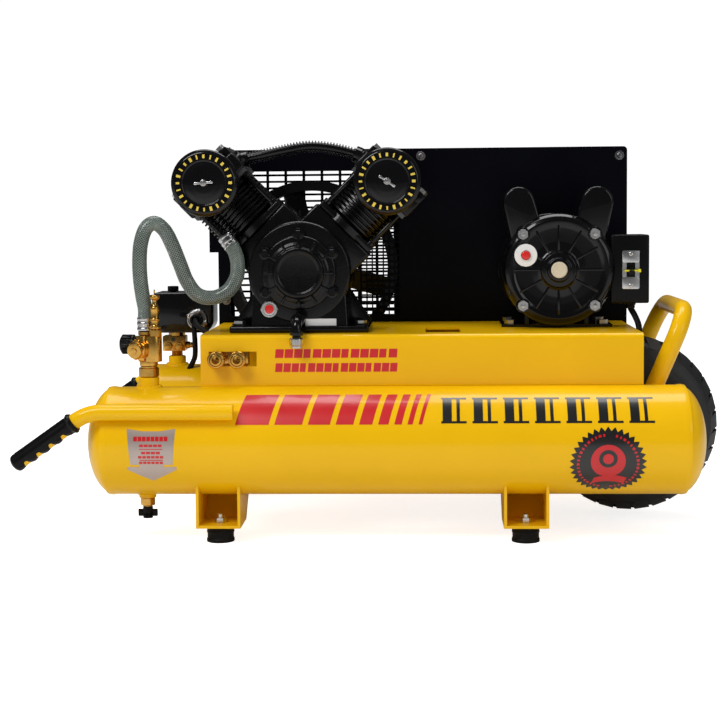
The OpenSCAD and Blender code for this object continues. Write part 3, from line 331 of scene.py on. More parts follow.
def surface(name, color, rough=0.5, metal=0.0, coat=0.0, coat_rough=0.08, specular=0.5,
            mottle=0.06, mottle_scale=14.0, rough_vary=0.08, bump=0.0, bump_scale=600.0, dent=0.0,
            tint=None, stretch=(1, 1, 1)):
    """A painted, cast, moulded or machined surface. Its colour drifts by mottle, its roughness by
    rough_vary, and its bump is fine grain plus, with dent, a slow waviness."""
    mat = bpy.data.materials.new(name)
    mat.use_nodes = True
    tree = mat.node_tree
    shader = tree.nodes["Principled BSDF"]
    shader.inputs["Metallic"].default_value = metal
    shader.inputs["Coat Weight"].default_value = coat
    shader.inputs["Coat Roughness"].default_value = coat_rough
    shader.inputs["Specular IOR Level"].default_value = specular

    def node(kind, **values):
        n = tree.nodes.new(kind)
        for key, value in values.items():
            if key in n.inputs:
                n.inputs[key].default_value = value
            else:
                setattr(n, key, value)
        return n

    place = node("ShaderNodeTexCoord")
    scale = node("ShaderNodeMapping")
    scale.inputs["Scale"].default_value = stretch
    tree.links.new(place.outputs["Object"], scale.inputs["Vector"])
    drift = node("ShaderNodeTexNoise", Scale=mottle_scale, Detail=5.0, Roughness=0.6)
    grain = node("ShaderNodeTexNoise", Scale=bump_scale, Detail=3.0, Roughness=0.6)
    for n in (drift, grain):
        tree.links.new(scale.outputs["Vector"], n.inputs["Vector"])
    ramp = tree.nodes.new("ShaderNodeValToRGB")
    dark = [c * (1 - mottle) for c in color]
    light = [min(1, c * (1 + mottle)) for c in color]
    if tint:
        dark = tint
    ramp.color_ramp.elements[0].position, ramp.color_ramp.elements[1].position = 0.3, 0.7
    ramp.color_ramp.elements[0].color = (*dark, 1)
    ramp.color_ramp.elements[1].color = (*light, 1)
    tree.links.new(drift.outputs["Fac"], ramp.inputs["Fac"])
    tree.links.new(ramp.outputs["Color"], shader.inputs["Base Color"])
    spread = node("ShaderNodeMapRange")
    spread.inputs["To Min"].default_value = max(0.02, rough - rough_vary)
    spread.inputs["To Max"].default_value = min(1.0, rough + rough_vary)
    tree.links.new(drift.outputs["Fac"], spread.inputs["Value"])
    tree.links.new(spread.outputs["Result"], shader.inputs["Roughness"])
    normal = None
    for source, strength, distance in ((grain, bump, 0.0006), (drift, dent, 0.002)):
        if strength:
            b = node("ShaderNodeBump", Strength=strength, Distance=distance)
            tree.links.new(source.outputs["Fac"], b.inputs["Height"])
            if normal:
                tree.links.new(normal.outputs["Normal"], b.inputs["Normal"])
            normal = b
    if normal:
        tree.links.new(normal.outputs["Normal"], shader.inputs["Normal"])
    return mat


YELLOW = surface("yellow paint", (0.93, 0.53, 0.002), 0.3, coat=0.3, coat_rough=0.04, specular=0.12,
                 mottle=0.03, mottle_scale=7, rough_vary=0.05, bump=0.06, bump_scale=260, dent=0.03)
BLACK = surface("black paint", (0.002, 0.002, 0.0028), 0.2, coat=0.45, coat_rough=0.04, specular=0.14,
                mottle=0.25, bump=0.1, bump_scale=500, dent=0.03)
GUARD = surface("guard paint", (0.0016, 0.0018, 0.004), 0.3, coat=0.02, coat_rough=0.25, specular=0.08,
                mottle=0.3, mottle_scale=5, bump=0.12, bump_scale=700, dent=0.12)
IRON = surface("painted cast iron", (0.0022, 0.0022, 0.0026), 0.24, coat=0.3, coat_rough=0.08, specular=0.15,
               mottle=0.3, mottle_scale=40, bump=0.55, bump_scale=420, dent=0.2)
STEEL = surface("zinc plate", (0.62, 0.62, 0.62), 0.28, 1.0, mottle=0.12, mottle_scale=90,
                bump=0.05, bump_scale=900)
DARK_STEEL = surface("machined steel", (0.22, 0.22, 0.23), 0.35, 1.0, mottle=0.15, bump=0.08)
BRASS = surface("brass", (0.72, 0.42, 0.09), 0.22, 1.0, mottle=0.16, mottle_scale=60,
                rough_vary=0.1, bump=0.06, bump_scale=900, tint=(0.48, 0.26, 0.06))
RUBBER = surface("rubber", (0.006, 0.006, 0.006), 0.55, specular=0.15, mottle=0.2, bump=0.25, bump_scale=500)
TYRE = surface("tyre rubber", (0.017, 0.018, 0.019), 0.5, specular=0.4, mottle=0.35, mottle_scale=30,
               bump=0.25, bump_scale=500, rough_vary=0.12)
PLASTIC = surface("black plastic", (0.0028, 0.0028, 0.0033), 0.3, specular=0.16, mottle=0.15, bump=0.15,
                  bump_scale=900)
GRIP = surface("grip vinyl", (0.0028, 0.0028, 0.0033), 0.34, specular=0.16, mottle=0.2, bump=0.2,
               bump_scale=700)
RED = surface("red plastic", (0.72, 0.02, 0.015), 0.22, coat=0.5, mottle=0.06, bump=0.03)
WHITE = surface("white plastic", (0.86, 0.86, 0.84), 0.35, mottle=0.04, bump=0.05)
CREAM = surface("cream plastic", (0.68, 0.6, 0.45), 0.5, mottle=0.12, mottle_scale=60, bump=0.1)
PAPER = surface("filter paper", (0.78, 0.7, 0.5), 0.85, mottle=0.1, bump=0.3)
HOSE = surface("hose wall", (0.03, 0.04, 0.034), 0.2, coat=0.3, mottle=0.3, mottle_scale=30, bump=0.05)
BRAID = surface("hose braid", (0.24, 0.29, 0.26), 0.25, specular=0.8, mottle=0.12, bump=0.2, bump_scale=1500)
GOLD_INK = surface("gold ink", (0.8, 0.6, 0.08), 0.45, mottle=0.1, bump=0.03)
RED_INK = surface("red vinyl", (0.62, 0.008, 0.012), 0.3, coat=0.3, mottle=0.05, bump=0.03)
BLACK_INK = surface("black vinyl", (0.01, 0.01, 0.01), 0.3, coat=0.3, mottle=0.1, bump=0.03)
SEALANT = surface("thread sealant", (0.55, 0.03, 0.02), 0.45, mottle=0.2, mottle_scale=90)
TIE = surface("yellow nylon", (0.8, 0.72, 0.02), 0.35, mottle=0.05, bump=0.03)
SILVER_INK = surface("silver label", (0.5, 0.42, 0.38), 0.38, 0.55, mottle=0.06, bump=0.05)

LOOKS = {
    "yellow_paint": YELLOW, "black_paint": BLACK, "guard_paint": GUARD, "cast_iron": IRON,
    "bright_steel": STEEL, "dark_steel": DARK_STEEL, "brass": BRASS, "rubber": RUBBER, "tyre": TYRE,
    "black_plastic": PLASTIC, "grip_plastic": GRIP, "red_plastic": RED, "white_plastic": WHITE,
    "cap_plastic": CREAM, "hose": HOSE, "paper": PAPER,
}


def paint_cad():
    """Every CAD node takes the material of its slot."""
    for part in frame["record"]["subparts"]:
        nodes[part["node"]].data.materials.clear()
        nodes[part["node"]].data.materials.append(LOOKS[part["material_slot"]])


# ---------- places, all worked out from the frame ----------

def middle(node):
    lo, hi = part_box(node)
    return (lo + hi) / 2


tank_lo, tank_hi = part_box("front_tank")
SEAM_STEP = 0.0009
TANK_R = (tank_hi.y - tank_lo.y) / 2 - SEAM_STEP
TANK_Y = -middle("front_tank").y
TANK_Z = tank_lo.z + 0.005 + TANK_R
CRANK = middle("flywheel")
MOTOR = middle("motor_shell")
MOTOR_R = (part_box("motor_shell")[1].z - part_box("motor_shell")[0].z) / 2
SADDLE_LO, SADDLE_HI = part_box("saddle")
PANEL_LO, PANEL_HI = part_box("guard_panel")
FILTER_LO, FILTER_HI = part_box("filter_bodies")
FILTER_R = (FILTER_HI.z - FILTER_LO.z) / 2
FILTERS = [Vector((x, FILTER_LO.y, middle("filter_bodies").z))
           for x in (FILTER_LO.x + FILTER_R, FILTER_HI.x - FILTER_R)]


# ---------- the hose first ----------

HOSE_ROUTE = [
    (-0.217, -0.098, 0.424), (-0.208, -0.102, 0.412), (-0.202, -0.105, 0.4), (-0.199, -0.107, 0.385),
    (-0.201, -0.109, 0.366), (-0.214, -0.112, 0.347), (-0.235, -0.115, 0.338), (-0.256, -0.12, 0.343),
    (-0.27, -0.125, 0.362), (-0.279, -0.13, 0.387), (-0.288, -0.136, 0.413), (-0.298, -0.142, 0.435),
    (-0.311, -0.147, 0.446), (-0.323, -0.152, 0.439), (-0.33, -0.156, 0.418), (-0.332, -0.158, 0.392),
    (-0.331, -0.159, 0.366), (-0.328, -0.16, 0.343), (-0.325, -0.16, 0.326), (-0.325, -0.16, 0.311)]
LEAD_ROUTE = [
    (0.372, -0.034, 0.322), (0.373, -0.035, 0.315), (0.379, -0.041, 0.303), (0.383, -0.05, 0.29),
    (0.382, -0.058, 0.277),
    (0.375, -0.063, 0.267),
    (0.358, -0.065, 0.261), (0.33, -0.066, 0.26), (0.29, -0.064, 0.26), (0.25, -0.054, 0.26),
    (0.22, -0.034, 0.26),
    (0.196, -0.006, 0.261), (0.174, 0.026, 0.262), (0.152, 0.056, 0.264), (0.126, 0.078, 0.266),
    (0.092, 0.087, 0.267),
    (0.04, 0.088, 0.267), (-0.02, 0.088, 0.267), (-0.08, 0.088, 0.267), (-0.15, 0.088, 0.267),
    (-0.21, 0.088, 0.266),
    (-0.242, 0.088, 0.265), (-0.264, 0.09, 0.268), (-0.278, 0.092, 0.274), (-0.289, 0.097, 0.282),
    (-0.294, 0.104, 0.288),
    (-0.295, 0.114, 0.29)]
HOSE_R = 0.0105
STRANDS = 14
BRAID_R = 0.00042


def discharge_hose():
    """A clear hose over a braid: crossing strands wound both ways round the wall."""
    line = smooth_path(HOSE_ROUTE, 12)
    hose = make("discharge_hose", sweep(line, HOSE_R - BRAID_R, 32), HOSE, stands_for=["discharge_hose"])
    turns = length_of(line) / 0.042
    basis = frames(line)
    strands = []
    for way in (-1, 1):
        for k in range(STRANDS):
            path = []
            for i, (p, (t, u, v)) in enumerate(zip(line, basis)):
                a = 2 * pi * (k / STRANDS + way * turns * i / (len(line) - 1))
                path.append(p + (u * cos(a) + v * sin(a)) * (HOSE_R - BRAID_R))
            strands.append(sweep(path[1:-1], BRAID_R, 5))
    braid = make("hose_braid", join(*strands), BRAID)


# ---------- tanks ----------

def tank_shell(side, bung_x):
    """A rolled tube with two ellipsoidal heads, welded seams, a top bung and a drain bung."""
    lo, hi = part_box("front_tank")
    half, mid, dome = (hi.x - lo.x) / 2, (hi.x + lo.x) / 2, TANK_R / 2
    def head(s):
        steps = range(3, 88, 5)
        return [(TANK_R * sin(radians(a)), s * (half - dome + dome * cos(radians(a))))
                for a in steps]
    seam = half - dome + 0.003
    joggle = [(TANK_R, seam + 0.006), (TANK_R + 0.0006, seam + 0.003), (TANK_R + SEAM_STEP, seam),
              (TANK_R + 0.0006, seam - 0.003), (TANK_R, seam - 0.006)]
    profile = [(0, half)] + head(1)[:-1] + joggle
    profile += [(r, -h) for r, h in joggle[::-1]] + head(-1)[:-1][::-1] + [(0, -half)]
    axis = along((mid, side * TANK_Y, TANK_Z), X)
    body = moved(lathe(profile, 160), axis)
    bung = [(0.0092, 0.0), (0.0115, 0.0), (0.0135, -0.0006), (0.014, -0.002), (0.014, -0.018),
            (0.0092, -0.018)]
    top = moved(lathe(bung, 48), along((bung_x, side * TANK_Y, hi.z), Z))
    drain = moved(lathe([(0.0072, 0), (0.012, 0), (0.012, 0.012), (0.0072, 0.012)], 40),
                  along((drain_x, side * TANK_Y, lo.z), Z))
    fillets = [
        moved(saddle_bead(0.0155, 0.0028), along((bung_x, side * TANK_Y, TANK_Z), Z)),
        moved(saddle_bead(0.0132, 0.0022), along((drain_x, side * TANK_Y, TANK_Z), -Z)),
    ]
    return join(body, top, drain, *fillets)


def saddle_bead(r, tube, n=72, m=8):
    """A weld bead that runs round an upright pipe of radius r where it meets the tank's side."""
    points = []
    for i in range(n):
        a = 2 * pi * i / n
        t = tube * (1 + 0.12 * sin(a * 17))
        for j in range(m):
            b = 2 * pi * j / m
            q = r + t * cos(b)
            x, y = q * cos(a), q * sin(a)
            points.append(Vector((x, y, sqrt(TANK_R ** 2 - y * y) + t * sin(b))))
    faces = [[i * m + j, ((i + 1) % n) * m + j, ((i + 1) % n) * m + (j + 1) % m, i * m + (j + 1) % m]
             for i in range(n) for j in range(m)]
    return points, faces


drain_x = middle("drain_knob_front").x
bung_front = drain_x + 0.005
bung_rear = drain_x - 0.009
tank_top = tank_hi.z
pilot_x = drain_x + 0.016
KNOB = middle("regulator_knob")
SWITCH_LO, SWITCH_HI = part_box("pressure_switch")
SWITCH_GLAND = 0.025


def tanks():
    make("front_tank_shell", tank_shell(-1, bung_front), YELLOW, stands_for=["front_tank"])
    make("rear_tank_shell", tank_shell(1, bung_rear), YELLOW, stands_for=["rear_tank"])


# ---------- feet, wheel and handles ----------

# radius of the carrying tubes
TUBE_R = 0.0111

def rubber_feet():
    """Moulded feet, wider at the floor, with a rib and a recess for the bolt."""
    lo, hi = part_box("rubber_feet")
    h = hi.z
    r = 0.0195
    profile = rounded([(0.011, 0.009), (0.011, 0), (r, 0), (r, 0.004), (r - 0.001, 0.0055),
                       (r - 0.001, 0.012),
                       (r, 0.0135), (r - 0.0015, h), (0.0052, h), (0.0052, 0.009)], 0.0008)
    foot = lathe(profile, 48)
    spots = [(x, y) for x in (lo.x + r, hi.x - r) for y in (lo.y + r, hi.y - r)]
    make("moulded_feet", join(*[shift(foot, x, y) for x, y in spots]), RUBBER, stands_for=["rubber_feet"])


def grips():
    """Vinyl grips with four finger grooves underneath, a collar and a round end."""
    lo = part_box("grips")[0]
    slope, r = radians(35), 0.013
    tip = Vector((lo.x + r * sin(slope), 0, lo.z + r * cos(slope)))
    out = Vector((-cos(slope), 0, -sin(slope)))
    length = 0.1055
    start = tip - out * length
    start.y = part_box("handle_tubes")[0].y + TUBE_R
    down = Vector((sin(slope), 0, -cos(slope)))
    steps, around = 96, 32
    points = []
    for i in range(steps + 1):
        t = i / steps
        s = t * length
        collar = 0.0026 * exp(-((s - 0.004) / 0.0028) ** 2)
        end = sqrt(max(0.0, 1 - max(0.0, (s - length + 0.007) / 0.007) ** 2))
        for j in range(around):
            a = 2 * pi * j / around
            under = max(0.0, cos(a)) ** 0.7
            groove = 0.0024 * under * (0.5
                                       - 0.5 * cos(2 * pi * (s - 0.012) / 0.021)) if 0.012 < s < 0.096 else 0
            rib = 0.00035 * cos(a * 16) * (1 - under) if 0.01 < s < length - 0.012 else 0
            q = (r - 0.0004 + collar - groove + rib) * max(end, 0.02)
            points.append(start + out * s + (down * cos(a) + Y * sin(a)) * q)
    faces = [[i * around + j, i * around + (j + 1) % around, (i + 1) * around + (j + 1) % around,
              (i + 1) * around + j]
             for i in range(steps) for j in range(around)]
    faces += [list(range(around))[::-1], list(range(steps * around, (steps + 1) * around))]
    make("finger_grips", join((points, faces), mirrored((points, faces))), GRIP, stands_for=["grips"],
         angle=50)


LUGS = 30


def tyre():
    """A ribbed carcass with lugs along each shoulder and arrows down the middle."""
    lo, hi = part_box("tyre")
    r, w = (hi.z - lo.z) / 2, (hi.y - lo.y) / 2
    bead = 0.0512
    side = [(bead, 0.03), (bead, 0.0365), (bead + 0.01, 0.0375), (bead + 0.018, 0.0415),
            (bead + 0.034, w - 0.0012),
            (bead + 0.04, w), (bead + 0.046, w - 0.0008), (r - 0.024, w - 0.003), (r - 0.013, w - 0.009),
            (r - 0.0075, w - 0.019), (r - 0.006, 0)]
    profile = [(p, -h) for p, h in side] + [(p, h) for p, h in side[:-1][::-1]]
    carcass = lathe(rounded(profile, 0.003, 2), 120)
    lug = []
    step = 2 * pi / LUGS
    for s in (-1, 1):
        for k in range(LUGS):
            a0 = (k + (0.5 if s > 0 else 0)) * step
            rows = [(r - 0.0135, w - 0.0085, 0.36), (r - 0.0065, w - 0.0185, 0.42),
                    (r - 0.001, w - 0.027, 0.4), (r, 0.006, 0.3)]
            lower = [(r - 0.018, w - 0.0095, 0.36), (r - 0.012, w - 0.02, 0.42),
                     (r - 0.01, w - 0.028, 0.4), (r - 0.01, 0.006, 0.3)]
            pts = []
            for level in (lower, rows):
                for i, (q, h, half) in enumerate(level):
                    lean = 0.34 * step * i / 3 * s
                    for e in (-half, half):
                        b = a0 + e * step + lean
                        pts.append(Vector((q * cos(b), q * sin(b), s * h)))
            n = 2 * len(rows)
            f = []
            for i in range(len(rows) - 1):
                p = 2 * i
                f += [[p, p + 1, p + 3, p + 2], [n + p, n + p + 2, n + p + 3, n + p + 1],
                      [p, p + 2, n + p + 2, n + p], [p + 1, n + p + 1, n + p + 3, p + 3]]
            f += [[0, n, n + 1, 1], [n - 2, n - 1, 2 * n - 1, 2 * n - 2]]
            lug.append((pts, f))
    centre = []
    for k in range(LUGS):
        b = k * step
        arrow = [(-0.3, -0.0045), (0.1, -0.0045), (0.42, 0.0), (0.1, 0.0045), (-0.3, 0.0045),
                 (-0.05, 0.0)]
        pts = [Vector((q * cos(b + u * step), q * sin(b + u * step), v))
               for q in (r - 0.01, r - 0.0004) for u, v in arrow]
        m = len(arrow)
        centre.append((pts, [list(range(m))[::-1], list(range(m, 2 * m))]
                       + [[i, (i + 1) % m, m + (i + 1) % m, m + i] for i in range(m)]))
    rings = [torus(bead + 0.024, 0.0009, 96, 6, s * 0.0428) for s in (-1, 1)]
    rings += [torus(bead + 0.048, 0.0007, 96, 6, s * (w - 0.0016)) for s in (-1, 1)]
    axis = along(middle("tyre"), Y)
    make("treaded_tyre", moved(join(carcass, *lug, *centre, *rings), axis), TYRE, "wheel", ["tyre"],
         28)


def wheel():
    """Bolts that hold the two pressed rim halves together, and a valve stem."""
    c = middle("wheel_rim")
    axis = along(c, Y)
    bolts = [shift(hexagon(0.0048, s * 0.0086 if s > 0 else -0.0126, 0.0126 if s > 0 else -0.0086),
                   0.031 * cos(a), 0.031 * sin(a))
             for s in (-1, 1) for a in [radians(36 + 72 * i) for i in range(5)]]
    make("rim_bolts", moved(join(*bolts), axis), STEEL, "wheel")
    stem = moved(join(rod(0.0036, 0, 0.02, 0.001, 20), shift(rod(0.0044, 0, 0.008, 0.001, 20), z=0.014)),
                 along(c + Vector((0.038, -0.012, 0)), Vector((0.25, -1, 0))))
    make("valve_stem", stem, RUBBER, "wheel")


def tube_welds():
    """Stitch welds where the carrying tubes and the lifting handle meet the tanks."""
    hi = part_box("handle_tubes")[1]
    y_tube, z_tube = hi.y - TUBE_R, hi.z - TUBE_R
    beads = []
    off = Vector((0, TANK_Y - y_tube, TANK_Z - z_tube)).normalized()
    touch = Vector((0, y_tube, z_tube)) + off * TUBE_R
    for x0, x1 in ((hi.x - 0.052, hi.x - 0.006), (hi.x - 0.178, hi.x - 0.132)):
        for lift in (0.0034, -0.0034):
            side = Vector((0, -off.z, off.y)) * lift
            line = [touch + side + X * (x0 + (x1 - x0) * i / 24) for i in range(25)]
            beads.append(sweep(line, lambda t,
                               a: 0.0019 * (1 + 0.22 * sin(t * 60)) * (0.55 + 0.45 * sin(pi * t)), 8))
    lift_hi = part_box("lift_handle")[1]
    r, lean = 0.0127, radians(23)
    y_leg = lift_hi.y - r
    leg = 0.12
    foot_x = lift_hi.x - r - leg * sin(lean)
    foot_z = lift_hi.z - r - leg * cos(lean)
    up = Vector((sin(lean), 0, cos(lean)))
    side = up.cross(Y).normalized()
    ring_line = []
    for i in range(40):
        a = 2 * pi * i / 40
        p = Vector((foot_x, y_leg, foot_z)) + (side * cos(a) + Y * sin(a)) * (r + 0.0004)
        for _ in range(12):
            radial = hypot(p.y - TANK_Y, p.z - TANK_Z)
            p = p - up * (radial - TANK_R)
        ring_line.append(p)
    bead = []
    n, m = len(ring_line), 8
    for i, p in enumerate(ring_line):
        t = (ring_line[(i + 1) % n] - ring_line[i - 1]).normalized()
        u = t.cross(up).normalized()
        v = t.cross(u)
        for j in range(m):
            a = 2 * pi * j / m
            bead.append(p + (u * cos(a) + v * sin(a)) * 0.0026 * (1 + 0.15 * sin(i * 1.9)))
    beads.append((bead, [[i * m + j, ((i + 1) % n) * m + j, ((i + 1) % n) * m + (j + 1) % m,
                          i * m + (j + 1) % m]
                         for i in range(n) for j in range(m)]))
    make("tube_welds", join(*beads, *[mirrored(b) for b in beads]), YELLOW)


# ---------- pump ----------

PUMP_Y = middle("cylinders").y
BANK_STEP = 0.008
DECK, BARREL_TOP, HEAD_LOW, REACH, HEAD_HALF = 0.088, 0.158, 0.16405, 0.205, 0.054


def bank(side):
    """Local Z runs out along a cylinder; side is -1 on the left and 1 on the right."""
    return Matrix.Translation((CRANK.x, PUMP_Y + side * BANK_STEP,
                               CRANK.z)) @ Matrix.Rotation(side * pi / 4, 4, "Y")


def cylinders():
    """Finned barrels on square flanges, with a long stud at each corner."""
    outline = [(0.0328, BARREL_TOP - 0.0001), (0.0328, DECK)]
    outline += [(0.044, DECK), (0.044, DECK + 0.01)]
    fins = 7
    first, last = DECK + 0.0165, BARREL_TOP - 0.0135
    for i in range(fins):
        z = first + (last - first) * i / (fins - 1)
        outline += [(0.0395, z - 0.0028), (0.0488, z - 0.0013), (0.0488, z + 0.0013), (0.0395, z + 0.0028)]
    outline += [(0.05, BARREL_TOP - 0.0065), (0.05, BARREL_TOP - 0.0001)]
    barrel = lathe(outline, 72)
    flange = bevel(block(-0.05, -0.039, DECK + 0.0002, 0.05, 0.039, DECK + 0.0092), 0.0022)
    studs = [shift(rod(0.0036, DECK + 0.009, HEAD_LOW - 0.006, 0.0004, 16), x, y) for x in (-0.0435, 0.0435)
             for y in (-0.0325, 0.0325)]
    nuts = [shift(hexagon(0.007, DECK + 0.009, DECK + 0.015), x, y) for x in (-0.0435, 0.0435)
            for y in (-0.0325, 0.0325)]
    one = join(barrel, flange)
    make("finned_cylinders", join(*[moved(one, bank(s)) for s in (-1, 1)]), IRON, stands_for=["cylinders"])
    make("cylinder_studs", join(*[moved(join(*studs, *nuts), bank(s)) for s in (-1, 1)]), BLACK)


def heads():
    """Cast heads: a block with six fins, ribs across its sides and a port boss on the side of the V."""
    h = HEAD_HALF
    parts = []
    for s in (-1, 1):
        low = bevel(block(-h, -h, HEAD_LOW, h, h, REACH - 0.0125), 0.003, 3)
        fins = []
        for i in range(6):
            x0 = -h if i == 0 else -h + i * 2 * h / 6 + 0.004
            x1 = h if i == 5 else -h + (i + 1) * 2 * h / 6 - 0.004
            fins.append(bevel(block(x0 + 0.0005, -h + 0.001, REACH - 0.016, x1 - 0.0005, h - 0.001, REACH),
                              0.0018, 2))
        ribs = [bevel(block(x - 0.002, -h - 0.0016, HEAD_LOW + 0.004, x + 0.002, h + 0.0016, REACH - 0.016),
                      0.0012, 1)
                for x in (-0.036, -0.018, 0.0, 0.018, 0.036)]
        boss = moved(rod(0.0135, -0.004, 0.005, 0.0012), along((-s * h, 0, REACH - 0.024), (-s, 0, 0)))
        parts.append(moved(join(low, *fins, *ribs, boss), bank(s)))
    c = FILTERS[1]
    face = PUMP_Y + BANK_STEP - HEAD_HALF
    throat = moved(rod(0.0155, -0.002, 0.0155, 0.001), along((c.x, face + 0.0005, c.z), -Y))
    make("finned_heads", join(*parts, throat), IRON, stands_for=["heads"])


def filters():
    """Round canisters with a rolled lip, a domed cover with a printed ring, and a wing nut."""
    depth = FILTER_HI.y - FILTER_LO.y
    r = 0.0475
    canister = lathe(rounded([(0, -depth), (r - 0.006, -depth), (r - 0.003, -depth + 0.006),
                              (r - 0.003, -depth + 0.016),
                              (r - 0.0015, -depth + 0.018), (r - 0.0015, -depth + 0.021),
                              (r - 0.003, -depth + 0.023),
                              (r - 0.003, -0.008), (r - 0.0005, -0.006), (r - 0.0005, -0.0005), (0, -0.0005)],
                              0.0012), 96)
    lid = lathe(rounded([(0, 0), (r - 0.001, 0), (r, 0.001), (r, 0.0065), (r - 0.0012, 0.0085),
                         (r - 0.0045, 0.0112),
                         (r - 0.006, 0.0118), (0.0315, 0.0118), (0.0302, 0.0106), (0.024, 0.0121),
                         (0.015, 0.0131),
                         (0.007, 0.0135), (0, 0.0136)], 0.0022, 5), 112)
    faces, lids, marks, studs = [], [], [], []
    widths = (0.0034, 0.0022, 0.0038, 0.003, 0.0024, 0.0036, 0.0028, 0.002)
    for c in FILTERS:
        at = along(c, -Y)
        faces.append(moved(canister, at))
        lids.append(moved(lid, at))
        studs.append(moved(rod(0.0028, 0.01, 0.0215, 0.0006, 16), at))
        for i in range(24):
            w = widths[i % len(widths)] / 2
            tall = 0.0031 if i % 3 else 0.0025
            bar = bevel(block(-w, 0.0372 - tall, 0.0117, w, 0.0372 + tall, 0.0121), 0.00015, 1)
            marks.append(moved(bar, at @ turned(15 * i)))
    make("filter_canisters", join(*faces), BLACK, stands_for=["filter_bodies"])
    make("filter_lids", join(*lids), BLACK, stands_for=["filter_covers"])
    make("filter_ring_marks", join(*marks), GOLD_INK)
    make("filter_studs", join(*studs), STEEL)
    nuts = []
    for c, a in zip(FILTERS, (4, -35)):
        hub = lathe(rounded([(0.003, 0.013), (0.0056, 0.013), (0.0046, 0.019), (0.003, 0.019)], 0.0008),
                    24)
        wing = [(0.003, -0.0016), (0.008, -0.0015), (0.011, -0.0021), (0.0132, -0.0017), (0.0139, 0),
                (0.0132, 0.0017),
                (0.011, 0.0021), (0.008, 0.0015), (0.003, 0.0016)]
        left = bevel(prism(wing, 0.014, 0.0185), 0.0007, 2)
        right = moved(left, turned(180))
        nuts.append(moved(join(hub, left, right), along(c, -Y) @ turned(a)))
    make("cast_wing_nuts", join(*nuts), STEEL, stands_for=["wing_nuts"])


def ribbed(line, r, rib_r, pitch, thick, n=24):
    """A tube with round fins set along it."""
    parts = [sweep(line, r, n)]
    basis = frames(line)
    gone, next_at = 0.0, pitch
    for i in range(1, len(line)):
        step = (line[i] - line[i - 1]).length
        while gone + step >= next_at:
            p = line[i - 1].lerp(line[i], (next_at - gone) / step)
            parts.append(moved(rod(rib_r, -thick / 2, thick / 2, thick * 0.3, n), along(p, basis[i][0])))
            next_at += pitch
        gone += step
    return join(*parts)


def air_tubes():
    """The finned tube that arches between the heads, and the ribbed stub beside the left cylinder."""
    out = (REACH - 0.024 - HEAD_HALF) / sqrt(2), (REACH - 0.024 + HEAD_HALF) / sqrt(2)
    xl, xr, z = CRANK.x - out[0], CRANK.x + out[0], CRANK.z + out[1]
    y = PUMP_Y
    route = [(xl - 0.002, y - 0.008, z - 0.002), (xl + 0.024, y - 0.008, z + 0.003),
             (CRANK.x - 0.028, y - 0.006, z + 0.011),
             (CRANK.x + 0.008, y, z + 0.017), (CRANK.x + 0.04, y + 0.004, z + 0.015),
             (xr - 0.018, y + 0.008, z + 0.008),
             (xr + 0.001, y + 0.008, z + 0.001)]
    line = smooth_path(route, 10)
    stub = [bank(-1) @ Vector((-0.04, -0.0475, h)) for h in (0.1135, 0.125, 0.14, 0.1578)]
    arch = ribbed(line, 0.0062, 0.0088, 0.0044, 0.0015)
    parts = [arch, ribbed(stub, 0.0055, 0.009, 0.0062, 0.0022)]
    for p, q in ((line[0], line[4]), (line[-1], line[-5])):
        parts.append(moved(hexagon(0.0125, 0.004, 0.014), along(p, q - p)))
    make("finned_air_tubes", join(*parts), BLACK, stands_for=["intercooler_tube"])


# degrees from straight up, towards +X
COVER_EARS = (0, 60, 120, -60, -120)


